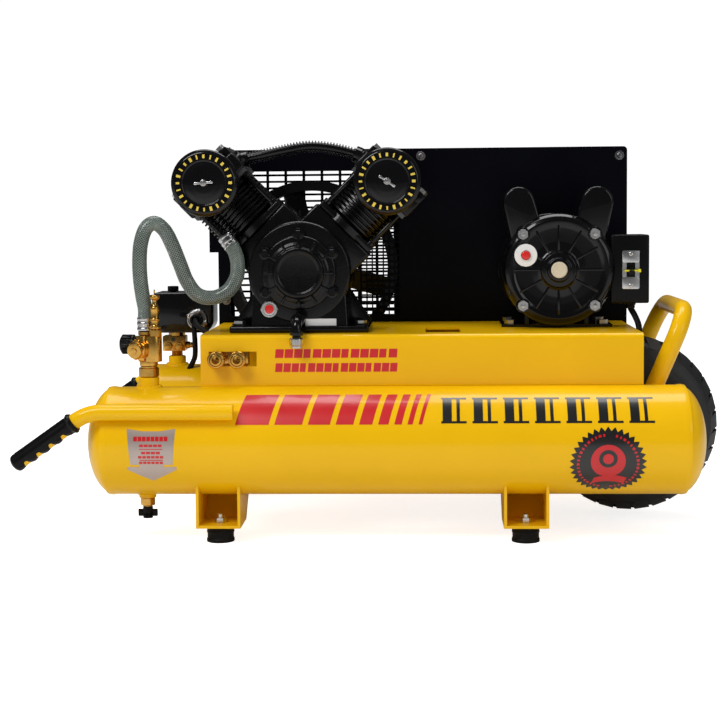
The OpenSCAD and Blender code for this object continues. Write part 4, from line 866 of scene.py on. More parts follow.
def crankcase():
    """The cast case: barrel, sump, decks, ribs and a foot with a pad at each bolt."""
    lo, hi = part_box("crankcase")
    y0, y1 = PUMP_Y - 0.07, hi.y
    c = CRANK
    barrel = moved(lathe(rounded([(0.049, -y0), (0.071, -y0), (0.074, -y0 - 0.003), (0.074, -y0 - 0.012),
                                  (0.07, -y0 - 0.016),
                                  (0.07, -y1 + 0.014), (0.074, -y1 + 0.01), (0.074, -y1), (0.0255, -y1),
                                  (0.0255, -y1 + 0.014),
                                  (0.049, -y1 + 0.014)], 0.0015), 96), along((c.x, 0, c.z), -Y))
    sump = [(-0.07, 0.01), (-0.074, 0.0), (0.074, 0.0), (0.07, 0.01), (0.066, 0.086), (-0.066, 0.086)]
    body = bevel(front(prism([(x + c.x, z + lo.z) for x, z in sump], -y1 + 0.002, -y0 - 0.0014), 0), 0.004, 3)
    foot = bevel(block(lo.x, lo.y, lo.z + 0.0002, hi.x, hi.y, lo.z + 0.01), 0.003, 3)
    parts = [barrel, body, foot]
    for s in (-1, 1):
        parts.append(moved(bevel(block(-0.054, -0.039, 0.045, 0.054, 0.039, DECK), 0.004, 3), bank(s)))
        for x in (0.028, 0.056):
            web = [(s * 0.069, 0.009), (s * 0.098, 0.009), (s * 0.098, 0.014), (s * 0.066, 0.062)]
            yy = PUMP_Y + (x - 0.042) * 2.2
            parts.append(bevel(front(prism([(p + c.x, q + lo.z) for p, q in web], -0.003, 0.003), yy), 0.0012,
                               2))
    for x, y in [(sx * 0.088, sy * 0.056) for sx in (-1, 1) for sy in (-1, 1)]:
        parts.append(shift(rod(0.0115, 0, 0.0022, 0.0006), c.x + x, PUMP_Y + y, lo.z + 0.0098))
    make("cast_crankcase", join(*parts), IRON, stands_for=["crankcase"])
    face = y0
    r = 0.0535
    ears = [shift(rod(0.0092, 0, 0.0098, 0.0012), r_out * sin(a), r_out * cos(a))
            for r_out, a in [(r + 0.002, radians(b)) for b in COVER_EARS]]
    cover = lathe(rounded([(0, 0), (r, 0), (r, 0.0082), (r - 0.002, 0.01), (0.044, 0.0104), (0.041, 0.0125),
                           (0.037, 0.013),
                           (0.0355, 0.018), (0.03, 0.0182), (0.028, 0.0165), (0.0, 0.016)], 0.0016), 96)
    ribs = [moved(bevel(block(0.034, -0.002, 0.0095, 0.05, 0.002, 0.0142), 0.001, 2), turned(a))
            for a in range(0, 360, 30)]
    make("cast_cover", moved(join(cover, *ears, *ribs), along((c.x, face, c.z), -Y)), IRON,
         stands_for=["crankcase_cover"])
    bolts = []
    for b in COVER_EARS:
        a = radians(b)
        bolts.append(moved(join(rod(0.0078, 0.0095, 0.011, 0.0004), hexagon(0.0064, 0.0105, 0.015)),
                           along((c.x + (r + 0.002) * sin(a), face, c.z + (r + 0.002) * cos(a)), -Y)))
    make("cover_bolts", join(*bolts), BLACK)


def pump_trim():
    """The sight glass, the oil drain and its cap, and a blank label on the case."""
    c, face = middle("sight_bezel"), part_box("sight_bezel")[0].y
    hexes = join(hexagon(0.0135, -0.0068, -0.0022, 0.0012), rod(0.0118, -0.003, 0.0, 0.0006))
    at = along((c.x, face, c.z), -Y)
    rim = ring(0.0088, 0.0112, -0.002, 0.0006, 0.0004)
    make("sight_glass_bezel", moved(join(hexes, rim), at), STEEL, stands_for=["sight_bezel"])
    lens = lathe([(0, -0.003), (0.0088, -0.003), (0.0088, -0.0002)]
                 + [(0.0088 * sin(radians(a)), -0.0008 + 0.0012 * cos(radians(a)))
                    for a in (75, 60, 45, 30, 15)] + [(0, 0.0004)], 40)
    make("sight_glass_lens", moved(lens, at), RED, stands_for=["sight_window"])
    d = middle("oil_drain")
    z = SADDLE_HI.z + 0.02
    y = SADDLE_LO.y - 0.011
    bend = [(d.x, PUMP_Y - 0.07, z), (d.x, y + 0.02, z), (d.x, y + 0.012, z)]
    bend += [(d.x, y + 0.012 - 0.012 * sin(radians(a)), z - 0.012 + 0.012 * cos(radians(a)))
             for a in range(15, 91, 15)]
    bend += [(d.x, y, z - 0.018)]
    pipe = sweep(bend, 0.0072, 24)
    collar = moved(rod(0.0098, 0, 0.01, 0.001), along((d.x, y + 0.026, z), -Y))
    collar2 = shift(rod(0.0098, 0, 0.008, 0.001), d.x, y, z - 0.02)
    cap = shift(join(hexagon(0.0108, 0, 0.01, 0.0012), rod(0.0085, -0.004, 0.001, 0.001)), d.x, y, z - 0.034)
    make("oil_drain_pipe", join(pipe, collar, collar2,
                                shift(rod(0.0062, 0, 0.01, 0.0004), d.x, y, z - 0.028)), BLACK,
                                stands_for=["oil_drain"])
    make("oil_drain_cap", cap, STEEL)
    label = bevel(block(CRANK.x + 0.008, PUMP_Y - 0.0702, SADDLE_HI.z + 0.0095, CRANK.x + 0.053,
                        PUMP_Y - 0.068,
                        SADDLE_HI.z + 0.0195), 0.0004, 1)
    make("blank_case_label", label, WHITE)


# ---------- motor ----------

# through bolts stand this far from the axis, across and up
BOLT_AT = 0.052

def motor():
    """Rolled shell, two cast end bells with ribs, capacitor covers and the front's small parts."""
    r = MOTOR_R
    lo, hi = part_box("end_bells")
    y0, y1 = lo.y + 0.004, hi.y - 0.004
    centre = Vector((MOTOR.x, 0, MOTOR.z))
    shell_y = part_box("motor_shell")[0].y
    shell = lathe(rounded([(r - 0.003, 0.0), (r - 0.0004, 0.0), (r - 0.0004, 0.004), (r - 0.0012, 0.005),
                           (r - 0.0012, 0.095), (r - 0.0004, 0.096),
                           (r - 0.0004, 0.1), (r - 0.003, 0.1)], 0.0005), 120)
    make("rolled_motor_shell", moved(shell, along(centre + Y * shell_y, Y)), BLACK,
         stands_for=["motor_shell"])
    bells = []
    for y, out in ((y0, -Y), (y1, Y)):
        depth = 0.0248
        wall = lathe(rounded([(0.0, 0.0035), (0.0165, 0.0035), (0.018, 0.0), (0.025, -0.0005),
                              (0.0262, -0.003), (0.03, -0.0055), (0.04, -0.0065),
                              (0.062, -0.0062), (0.0665, -0.004), (0.072, -0.0035), (0.0775, -0.0065),
                              (r - 0.001, -0.0115), (r, -0.014),
                              (r, -depth), (r - 0.0045, -depth), (r - 0.0045, -0.013), (0.06, -0.01),
                              (0.0, -0.01)], 0.0016), 120)
        wall = shift(wall, z=0.0035)
        ribs = [moved(bevel(block(0.0255, -0.0018, -0.0065, 0.066, 0.0018, -0.001), 0.0009, 2), turned(a))
                for a in range(0, 360, 30)]
        lugs = [shift(rod(0.0105, -0.018, -0.0002, 0.0012), sx * BOLT_AT, sz * BOLT_AT) for sx in (-1, 1)
                for sz in (-1, 1)]
        bells.append(moved(join(wall, *ribs, *lugs), along(centre + Y * y, out)))
    make("cast_end_bells", join(*bells), BLACK, stands_for=["end_bells"])
    cap_lo, cap_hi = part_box("capacitor_covers")
    caps = []
    flare = 0.016
    for s in (-1, 1):
        x, z = MOTOR.x + s * 0.057, cap_hi.z - 0.023
        dome = arc(0, 0, 0.023, 0, 180, 14)
        lean = radians(s * 12)
        low = [(-0.023 * cos(lean) - 0.06 * sin(lean), 0.023 * sin(lean) - 0.06 * cos(lean)),
               (0.023 * cos(lean) - 0.06 * sin(lean), -0.023 * sin(lean) - 0.06 * cos(lean))]
        low.append((-s * (0.023 + flare), -0.05))
        outline = dome + [(-0.023 * cos(lean), 0.023 * sin(lean))] + low + [(0.023 * cos(lean),
                                                                             -0.023 * sin(lean))]
        outline = hull2d(outline)
        cover = bevel(front(prism([(px + x, pz + z) for px, pz in outline], 0, cap_hi.y - cap_lo.y),
                            cap_hi.y), 0.004, 4, 50)
        caps.append(cover)
    make("capacitor_housings", join(*caps), BLACK, stands_for=["capacitor_covers"],
         angle=40)
    plug = lathe(rounded([(0, -0.004), (0.0125, -0.004), (0.0125, 0.0025), (0.0105, 0.004), (0.008, 0.0034),
                          (0, 0.003)], 0.0008), 48)
    cap_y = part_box("shaft_cap")[0].y
    make("shaft_plug", moved(plug, along((MOTOR.x, cap_y + 0.004, MOTOR.z), -Y)), CREAM,
         stands_for=["shaft_cap"])
    rc = middle("reset_bezel")
    disc = ring(0.007, 0.0165, 0.0, 0.003, 0.0007, 56)
    lip = ring(0.007, 0.0088, 0.0028, 0.0038, 0.0004, 40)
    make("reset_disc", moved(join(disc, lip), along((rc.x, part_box("reset_bezel")[1].y, rc.z), -Y)), WHITE,
         stands_for=["reset_bezel"])
    button_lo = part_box("reset_button")[0].y
    knob = lathe(rounded([(0, -0.0041), (0.004, -0.0041), (0.004, -0.0037), (0.0065, -0.0037),
                          (0.0065, -0.001), (0.0055, 0.0), (0, 0.0003)], 0.0007), 36)
    make("reset_knob", moved(knob, along((rc.x, button_lo, rc.z), -Y)), RED, "reset", ["reset_button"])
    nuts = []
    for sx in (-1, 1):
        for sz in (-1, 1):
            at = along((MOTOR.x + sx * BOLT_AT, y0, MOTOR.z + sz * BOLT_AT), -Y, 0.3 * sx + 0.2 * sz)
            nuts.append(moved(join(rod(0.0074, -0.0004, 0.001, 0.0003),
                                   hexagon(0.0066, 0.0008, 0.0058, 0.001),
                                   rod(0.003, 0.005, 0.0088, 0.0006, 16)), at))
    make("through_bolt_nuts", join(*nuts), STEEL)


def hull2d(points):
    """The convex outline of flat points, anticlockwise."""
    pts = sorted(set((round(x, 6), round(y, 6)) for x, y in points))
    def half(seq):
        out = []
        for p in seq:
            while len(out) > 1 and ((out[-1][0] - out[-2][0]) * (p[1] - out[-2][1])
                                    - (out[-1][1] - out[-2][1]) * (p[0] - out[-2][0])) <= 0:
                out.pop()
            out.append(p)
        return out[:-1]
    return half(pts) + half(pts[::-1])


def switch_box():
    """A moulded box with a lid seam, a steel toggle plate with two screws and a yellow tie on the lever."""
    lo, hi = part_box("switch_box")
    z0 = lo.z + 0.006
    body = bevel(block(lo.x + 0.007, lo.y + 0.012, z0, hi.x, hi.y, hi.z), 0.003, 3)
    lid = bevel(block(lo.x + 0.001, lo.y, z0 - 0.001, hi.x, lo.y + 0.011, hi.z), 0.0028, 3)
    gland = moved(join(hexagon(0.0095, 0, 0.005), rod(0.0075, 0.004, 0.01, 0.001)),
                  along((*LEAD_ROUTE[0][:2], z0 + 0.0004), -Z))
    make("moulded_switch_box", join(body, lid, gland), PLASTIC, stands_for=["switch_box"])
    tp = middle("switch_plate")
    plate_lo, plate_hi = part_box("switch_plate")
    w, h = (plate_hi.x - plate_lo.x) / 2, (plate_hi.z - plate_lo.z) / 2
    y = plate_hi.y
    bars = []
    bars.append(bevel(front(prism(round_rect(-w, 0.0105, w, h, 0.0025), 0, 0.0014), y), 0.0004, 2))
    bars.append(bevel(front(prism(round_rect(-w, -h, w, -0.0105, 0.0025), 0, 0.0014), y), 0.0004, 2))
    bars.append(bevel(front(prism([(-w, -0.0108), (-0.0062, -0.0108), (-0.0062, 0.0108), (-w, 0.0108)], 0,
                                  0.0013), y), 0.0002, 1))
    bars.append(bevel(front(prism([(0.0062, -0.0108), (w, -0.0108), (w, 0.0108), (0.0062, 0.0108)], 0,
                                  0.0013), y), 0.0002, 1))
    make("toggle_plate", shift(join(*bars), tp.x, 0, tp.z), STEEL, stands_for=["switch_plate"])
    screws = [moved(screw_head(0.003, 0.0016), along((tp.x, y - 0.0013, tp.z + s * (h - 0.005)), -Y, s))
              for s in (-1, 1)]
    make("plate_screws", join(*screws), STEEL)
    lever_lo, lever_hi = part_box("toggle_lever")
    at, tie_y = (lever_lo + lever_hi) / 2, lever_lo.y + 0.0045
    band = bevel(block(at.x - 0.0105, tie_y - 0.0006, at.z - 0.0014, at.x + 0.0115, tie_y + 0.0002,
                       at.z + 0.001), 0.0003, 2)
    head = bevel(block(at.x + 0.009, tie_y - 0.0022, at.z - 0.0026, at.x + 0.013, tie_y + 0.0012,
                       at.z + 0.0022), 0.0006, 2)
    loop = bevel(block(at.x - 0.005, tie_y - 0.0008, at.z - 0.0012, at.x + 0.005, tie_y + 0.003,
                       at.z + 0.0008), 0.0003, 2)
    make("lever_tie", join(band, head, loop), TIE, "toggle")


# ---------- printed marks on the front tank ----------

INK = 0.0003


def tank_patch(place, nu, nv):
    """A thin solid wrapped on the front tank. place(u, v) gives x and the angle above the middle."""
    points = []
    for r in (TANK_R - 0.0002, TANK_R + INK):
        for j in range(nv + 1):
            for i in range(nu + 1):
                x, a = place(i / nu, j / nv)
                a = radians(a)
                points.append(Vector((x, -TANK_Y - r * cos(a), TANK_Z + r * sin(a))))
    w, n = nu + 1, (nu + 1) * (nv + 1)
    faces = []
    for j in range(nv):
        for i in range(nu):
            q = [j * w + i, j * w + i + 1, (j + 1) * w + i + 1, (j + 1) * w + i]
            faces += [q[::-1], [k + n for k in q]]
    rim = [i for i in range(w)] + [j * w + nu for j in range(1, nv + 1)]
    rim += [nv * w + i for i in range(nu - 1, -1, -1)] + [j * w for j in range(nv - 1, 0, -1)]
    faces += [[a, b, b + n, a + n] for a, b in zip(rim, rim[1:] + rim[:1])]
    return points, faces


def tank_bar(x, low, high, width, slant=0.0, rise=8):
    return tank_patch(lambda u, v: (x + width * u + slant * v, low + (high - low) * v), 1, rise)


def tank_round(cx, ca, edge, n=128, rows=10):
    """A patch round a point of the tank; edge(angle) is its reach in each direction."""
    points = []
    for r in (TANK_R - 0.0002, TANK_R + edge(0)[1]):
        for j in range(rows + 1):
            for i in range(n):
                a = 2 * pi * i / n
                q = edge(a)[0] * max(j / rows, 0.004)
                b = radians(ca) + q * sin(a) / TANK_R
                points.append(Vector((cx + q * cos(a), -TANK_Y - r * cos(b), TANK_Z + r * sin(b))))
    m = n * (rows + 1)
    faces = [list(range(n)), [k + m for k in range(n)][::-1]]
    for j in range(rows):
        for i in range(n):
            k = (i + 1) % n
            q = [j * n + i, (j + 1) * n + i, (j + 1) * n + k, j * n + k]
            faces += [q[::-1], [p + m for p in q]]
    faces += [[rows * n + i, rows * n + (i + 1) % n, m + rows * n + (i + 1) % n, m + rows * n + i]
              for i in range(n)]
    return points, faces


def tank_marks():
    """Plain stripes and blocks where the tank is printed, a grey arrow and a toothed round badge."""
    red = [tank_bar(x, 24, 63, w, 0.0125) for x, w in (
        (-0.19, 0.046), (-0.136, 0.038), (-0.09, 0.03), (-0.052, 0.024), (-0.02, 0.018), (0.006, 0.014),
        (0.028, 0.01), (0.046, 0.007), (0.061, 0.005))]
    make("red_stripes", join(*red), RED_INK)
    black = []
    for i in range(7):
        x = 0.094 + i * 0.0424
        black.append(tank_bar(x, 27, 55, 0.0125))
        black.append(tank_bar(x + 0.019, 27, 55, 0.0045))
        black.append(tank_bar(x - 0.002, 25, 27.4, 0.0345, 0, 2))
        black.append(tank_bar(x - 0.002, 54.6, 57, 0.0345, 0, 2))
    make("black_blocks", join(*black), BLACK_INK)
    cx, half = -0.3055, 0.0335
    def sheet_place(u, v):
        a = -18 + 38 * v - (4.2 * (1 - abs(2 * u - 1)) if v == 1 else 0)
        return cx + (2 * u - 1) * half * (0.87 + 0.13 * v), a
    def head_place(u, v):
        top = -20.5
        return cx + (2 * u - 1) * half * 1.02, top + (-38.5 + 15 * abs(2 * u - 1) - top) * (1 - v)
    arrow = [tank_patch(sheet_place, 12, 14), tank_patch(head_place, 12, 4),
             tank_patch(lambda u, v: (cx + (2 * u - 1) * half * 0.5, -21.5 + 4.5 * v), 2, 2)]
    make("grey_arrow", join(*arrow), SILVER_INK)
    lines = []
    for a, w, h in ((9.5, 0.048, 2.4), (2.5, 0.032, 1.3), (-1.2, 0.032, 0.4), (-5.0, 0.027, 1.3),
                    (-9.5, 0.036, 1.3),
                    (-12.8, 0.032, 0.4), (-15.6, 0.034, 1.3)):
        n = 1 if h < 1 else max(3, round(w / 0.006))
        gap = 0.0 if n == 1 else 0.0011
        for i in range(n):
            x0 = cx - w / 2 + i * w / n
            bar = tank_bar(x0, a - h, a + h, w / n - gap, 0, 3)
            lines.append(([lift_ink(p) for p in bar[0]], bar[1]))
    make("arrow_lines", join(*lines), RED_INK)
    bx, ba, teeth = 0.3175, -18, 34
    def saw(a):
        return 0.046 + 0.0062 * (1 - abs(2 * ((a * teeth / (2 * pi)) % 1) - 1)), INK
    make("toothed_badge", tank_round(bx, ba, saw, teeth * 6), BLACK_INK)
    hoop = []
    for i in range(44):
        if i in (10, 11, 32, 33):
            continue
        a, w, r = 2 * pi * i / 44, (0.0016, 0.0022, 0.0013)[i % 3], 0.0405
        cell = tank_patch(lambda u, v: polar(bx, ba, r - 0.0018 + 0.0036 * v, a + (u - 0.5) * w / r * 1.7), 2,
                          2)
        hoop.append(([lift_ink(p) for p in cell[0]], cell[1]))
    make("badge_ring", join(*hoop), RED_INK)
    disc = tank_round(bx, ba + 3, lambda a: (0.0235, 2 * INK), 64, 5)
    band = tank_patch(lambda u, v: (bx - 0.022 + 0.044 * u + 0.004 * v,
                                    ba - 25 + 8.5 * v + 3.5 * sin(pi * u)), 12, 4)
    band = ([lift_ink(p) for p in band[0]], band[1])
    make("badge_disc", join(disc, band), RED_INK)
    make("badge_eye", tank_round(bx, ba + 6, lambda a: (0.0125, 3 * INK), 48, 3), BLACK_INK)
    make("badge_core", tank_round(bx, ba + 6, lambda a: (0.0072, 4 * INK), 40, 3), RED_INK)


def polar(cx, ca, r, a):
    return cx + r * cos(a), ca + degrees(r * sin(a) / TANK_R)


def lift_ink(p):
    """Moves an upper ink point out by one more layer."""
    d = Vector((0, p.y + TANK_Y, p.z - TANK_Z))
    return p + d.normalized() * INK if d.length > TANK_R else p


# ---------- saddle and guard ----------

def flange_marks():
    """Plain red bars on the saddle's front."""
    y = SADDLE_LO.y
    bars = []
    for z, w0, w1 in ((0.2605, -0.142, 0.032), (0.2405, -0.142, 0.032)):
        n = 13 if z > 0.25 else 15
        for i in range(n):
            a = w0 + (w1 - w0) * i / n
            b = a + (w1 - w0) / n - (0.0035 if i % 4 == 3 else 0.0016)
            bars.append(front(prism([(a, z - 0.0062), (b, z - 0.0062), (b + 0.0012, z + 0.0062),
                                     (a + 0.0012, z + 0.0062)], -0.0001, 0.0003), y))
    make("flange_bars", join(*bars), RED_INK)


def guard_trim():
    """Round-headed fixing screws on the guard's front panel."""
    y = PANEL_LO.y
    screws = []
    for x, z in ((PANEL_LO.x + 0.012, PANEL_HI.z - 0.014), (PANEL_HI.x - 0.012, PANEL_HI.z - 0.014),
                 (PANEL_LO.x + 0.012, PANEL_LO.z + 0.1), (PANEL_HI.x - 0.012, PANEL_LO.z + 0.1),
                 ((PANEL_LO.x + PANEL_HI.x) / 2, PANEL_HI.z - 0.012)):
        screws.append(moved(join(rod(0.0072, 0, 0.001, 0.0003, 28),
                                 shift(screw_head(0.0045, 0.0028), z=0.0008)),
                            along((x, y, z), -Y, x * 9)))
    make("guard_screws", join(*screws), DARK_STEEL)


# ---------- front and rear fittings ----------

def knurled(r, h0, h1, teeth, depth, n=6, edge=0.0008):
    """A round part with fine straight teeth."""
    outline = []
    for i in range(teeth * n):
        a = 2 * pi * i / (teeth * n)
        q = r - depth * (0.5 - 0.5 * cos(a * teeth))
        outline.append((q * cos(a), q * sin(a)))
    inner = [(x * 0.93, y * 0.93) for x, y in outline]
    m = len(outline)
    points = [Vector((x, y, h)) for rows, h in ((inner, h0), (outline, h0 + edge), (outline, h1 - edge),
                                                (inner, h1)) for x, y in rows]
    faces = [list(range(m))[::-1], list(range(3 * m, 4 * m))]
    faces += [[k * m + i, k * m + (i + 1) % m, (k + 1) * m + (i + 1) % m, (k + 1) * m + i] for k in range(3)
              for i in range(m)]
    return points, faces


def thread(r, h0, h1, pitch=0.0018, depth=0.0007, n=32):
    """A threaded length drawn as close round grooves."""
    profile = [(0, h0)]
    h = h0
    while h < h1 - pitch * 0.5:
        profile += [(r - depth, h), (r, h + pitch / 2)]
        h += pitch
    profile += [(r - depth, h1), (0, h1)]
    return lathe(profile, n)


COUPLER_R = 0.0104


def fittings():
    """The regulator tee and its fittings, the rear manifold and the drains."""
    y = -TANK_Y
    bx, bz = bung_front, tank_top
    tee_z = KNOB.z - 0.006
    brass = [shift(thread(0.0095, bz - 0.004, bz + 0.004), bx, y),
             shift(hexagon(0.0148, bz + 0.0005, bz + 0.0135, 0.0012), bx, y),
             shift(rod(0.0118, bz + 0.013, bz + 0.016, 0.0005), bx, y),
             shift(rod(0.0128, tee_z - 0.024, tee_z - 0.014, 0.0012), bx, y)]
    body = bevel(block(bx - 0.0135, y - 0.0125, tee_z - 0.0175, bx + 0.0165, y + 0.0125, tee_z + 0.0185),
                 0.0028, 3)
    post = shift(rod(0.0125, tee_z - 0.018, tee_z + 0.0188, 0.0016, 56), bx + 0.0072, y - 0.0045)
    left = shift(rod(0.0085, tee_z - 0.012, tee_z + 0.0188, 0.0014, 40), bx - 0.0085, y - 0.0075)
    brass += [body, post, left]
    cap_at = along((bx - 0.012, y - 0.0118, tee_z), Vector((-0.34, -1, -0.1)))
    brass += [moved(join(rod(0.0142, -0.002, 0.0015, 0.0006, 48), hexagon(0.0148, 0.001, 0.0085, 0.0016),
                         rod(0.0112, 0.008, 0.0138, 0.0016, 40), rod(0.0046, 0.013, 0.0152, 0.0008, 24)),
                         cap_at)]
    stem = moved(join(rod(0.0062, -0.004, 0.012, 0.0006), hexagon(0.0092, 0.002, 0.008)),
                 along((bx - 0.014, KNOB.y, tee_z + 0.006), -X))
    px, py = pilot_x, y - 0.008
    line_y = KNOB.y
    pilot = [(0, 0.0175), (0.0064, 0.0175), (0.0064, 0.0285), (0.0082, 0.0292), (0.0085, 0.0312),
             (0.0064, 0.0325), (0.0052, 0.0345),
             (0.0052, 0.04), (0.0068, 0.0408), (0.007, 0.0428), (0.0058, 0.0438), (0.006, 0.054),
             (0.0066, 0.0548),
             (0.0066, 0.059), (0.0042, 0.062), (0.0036, 0.064), (0.0034, 0.069), (0.0062, 0.0705),
             (0.0074, 0.0722),
             (0.0074, 0.0752), (0.0058, 0.0764), (0, 0.0768)]
    brass += [stem, shift(hexagon(0.0098, tee_z + 0.0178, tee_z + 0.0278, 0.001), px, py),
              shift(lathe(rounded(pilot, 0.0006, 2), 40), px, py, tee_z),
              moved(torus(0.003, 0.0006, 24, 6), along((px, py, tee_z + 0.0805), X))]
    hx = HOSE_ROUTE[-1][0]
    hose_end = HOSE_ROUTE[-1][2] - 0.001
    brass += [shift(rod(0.0074, tee_z + 0.016, hose_end - 0.018, 0.0006), hx, line_y),
              shift(hexagon(0.0108, tee_z + 0.0185, hose_end - 0.016, 0.001), hx, line_y)]
    # rear: the pressure switch stands on a small manifold
    rx = bung_rear
    ry, low, high = TANK_Y, tank_top + 0.008, SWITCH_LO.z
    rear = [shift(thread(0.0092, tank_top - 0.004, low + 0.001), rx, ry),
            bevel(block(rx - 0.0215, ry - 0.0135, low, rx + 0.0155, ry + 0.0135, high - 0.006), 0.0018, 2),
            shift(hexagon(0.0138, high - 0.0068, high - 0.0002), rx, ry)]
    plug = [(rx - 0.012, low + 0.008), (rx + 0.006, low + 0.008)]
    for x, z in plug:
        rear.append(moved(join(hexagon(0.007, -0.001, 0.0065), rod(0.0042, 0.006, 0.0085, 0.0005, 24)),
                          along((x, ry - 0.0132, z), -Y)))
    rear.append(moved(join(hexagon(0.0062, 0, 0.006), rod(0.0045, 0.005, 0.013, 0.0005, 24)),
                      along((rx + 0.015, ry, low + 0.009), X)))
    brass += rear
    # the manifold behind the saddle's front flange
    c = middle("coupler_bodies")
    blo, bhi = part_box("coupler_bodies")
    cx = [blo.x + COUPLER_R, bhi.x - COUPLER_R]
    brass.append(bevel(block(cx[0] - 0.013, SADDLE_LO.y + 0.0092, c.z - 0.011, cx[1] + 0.013,
                             SADDLE_LO.y + 0.031, c.z + 0.011), 0.0015, 2))
    # the pipe that joins the tanks
    link = bung_front + 0.02
    inner = TANK_Y - TANK_R
    pipe = [moved(rod(0.0079, -inner + 0.001, inner - 0.001, 0.0003), along((link, 0, TANK_Z), Y))]
    for s in (-1, 1):
        pipe.append(moved(join(hexagon(0.013, 0.001, 0.009, 0.0012), rod(0.0105, 0.0085, 0.0125, 0.001)),
                          along((link, s * inner, TANK_Z), -s * Y)))
    brass += pipe
    # drain cock bodies
    for s in (-1, 1):
        z = tank_lo.z
        drain = [shift(thread(0.0072, z - 0.001, z + 0.006), drain_x, s * TANK_Y),
                 shift(hexagon(0.0108, z - 0.0118, z - 0.0002, 0.001), drain_x, s * TANK_Y),
                 shift(rod(0.0039, z - 0.0198, z - 0.011, 0.0004), drain_x, s * TANK_Y)]
        brass += drain
    make("turned_fittings", join(*brass), BRASS, stands_for=["brass_fittings"])
    seal = [shift(torus(0.0123, 0.001, 48, 8, tee_z - 0.0135 - 0.0012 * i, 0.35, 9 + 4 * i), bx, y)
            for i in range(3)]
    make("thread_sealant", join(*seal), SEALANT)
    # A thin black disc on the manifold's face: painted shade standing in for the dark inside of an open port.
    dark = [moved(rod(0.0034, 0, 0.0006, 0.0001, 24), along((rx - 0.004, ry - 0.0134, high - 0.012), -Y))]
    make("manifold_port_shade", join(*dark), BLACK_INK)
    e = HOSE_R
    ferrule = lathe(rounded([(e, -0.018), (e + 0.0012, -0.018), (e + 0.0012, -0.015), (e + 0.0005, -0.014),
                             (e + 0.0005, -0.011),
                             (e + 0.0012, -0.01), (e + 0.0012, -0.007), (e + 0.0005, -0.006),
                             (e + 0.0005, -0.0035),
                             (e + 0.0012, -0.0025), (e + 0.0012, 0.0), (e, 0.0)], 0.0004, 2), 56)
    top = [shift(ferrule, hx, line_y, hose_end + 0.003)]
    start, to = Vector(HOSE_ROUTE[0]), Vector(HOSE_ROUTE[1])
    top.append(moved(ferrule, along(start + (to - start).normalized() * 0.0165, to - start)))
    make("hose_ferrules", join(*top), STEEL)


def knobs_and_valves():
    """The regulator knob, drain wings, unloader button and the two outlet couplers."""
    lo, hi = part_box("regulator_knob")
    r, w = (hi.z - lo.z) / 2, hi.x - lo.x
    grip = knurled(r, 0.0025, w - 0.004, 24, 0.001, 6, 0.0012)
    dome = lathe(rounded([(0, 0), (r * 0.62, 0.0), (r * 0.86, 0.0022), (r * 0.9, 0.004), (0, 0.004)], 0.001),
                 48)
    skirt = lathe(rounded([(0.0066, w), (r - 0.0012, w), (r - 0.0002, w - 0.001), (r - 0.0002, w - 0.0045),
                           (0.0066, w - 0.0045)], 0.0006), 64)
    make("knurled_regulator", moved(join(grip, dome, skirt), along((lo.x, KNOB.y, KNOB.z), X)), PLASTIC,
         "regulator",
         ["regulator_knob"])
    for s, name, node in ((-1, "front_drain", "drain_knob_front"), (1, "rear_drain", "drain_knob_rear")):
        dlo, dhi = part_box(node)
        h = dhi.z - dlo.z
        hub = ring(0.0041, 0.007, h - 0.0165, h - 0.0003, 0.0005, 32)
        end = rod(0.007, 0, h - 0.0085, 0.0006, 32)
        wing = bevel(block(0.0045, -0.0019, 0.0022, (dhi.x - dlo.x) / 2, 0.0019, 0.0128), 0.0017, 3)
        shape = join(hub, end, wing, moved(wing, turned(180)))
        make("winged_" + node, shift(shape, drain_x, s * TANK_Y, dlo.z), PLASTIC, name, [node])
    klo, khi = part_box("switch_knob")
    c = (klo + khi) / 2
    button = join(knurled(0.009, khi.z - 0.0085, khi.z, 20, 0.0007, 4, 0.0009),
                  rod(0.0049, klo.z, khi.z - 0.008, 0.0003, 28))
    make("unloader_button", shift(button, c.x, c.y), PLASTIC, "unload_knob", ["switch_knob"])
    blo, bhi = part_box("coupler_bodies")
    z, y0, y1 = (blo.z + bhi.z) / 2, blo.y, bhi.y
    bodies = []
    for x in (blo.x + COUPLER_R, bhi.x - COUPLER_R):
        bore = 0.0055
        inner = lathe(rounded([(bore, 0), (0.0075, 0), (0.009, 0.0016), (0.009, 0.0205), (0.0104, 0.0208),
                               (0.0104, y1 - y0 - 0.0002),
                               (0.002, y1 - y0 - 0.0002), (0.002, 0.0208), (bore, 0.0205)], 0.0004, 2), 56)
        bodies.append(moved(inner, along((x, y0, z), Y)))
    make("coupler_sockets", join(*bodies), BRASS, stands_for=["coupler_bodies"])
    for node, body, x in (("coupler_sleeve_left", "left_sleeve", blo.x + COUPLER_R),
                          ("coupler_sleeve_right", "right_sleeve", bhi.x - COUPLER_R)):
        slo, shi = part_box(node)
        d, r = shi.y - slo.y, (shi.z - slo.z) / 2
        rim = lathe(rounded([(0.00905, 0), (r - 0.0012, 0), (r, 0.001), (r, 0.0034), (r - 0.0009, 0.004),
                             (r - 0.0009, d - 0.004),
                             (r, d - 0.0032), (r, d - 0.0006), (r - 0.0008, d), (0.00905, d)], 0.0003, 2), 72)
        make(node.replace("coupler_", "knurled_"), moved(rim, along((x, slo.y, z), Y)), BRASS, body, [node])


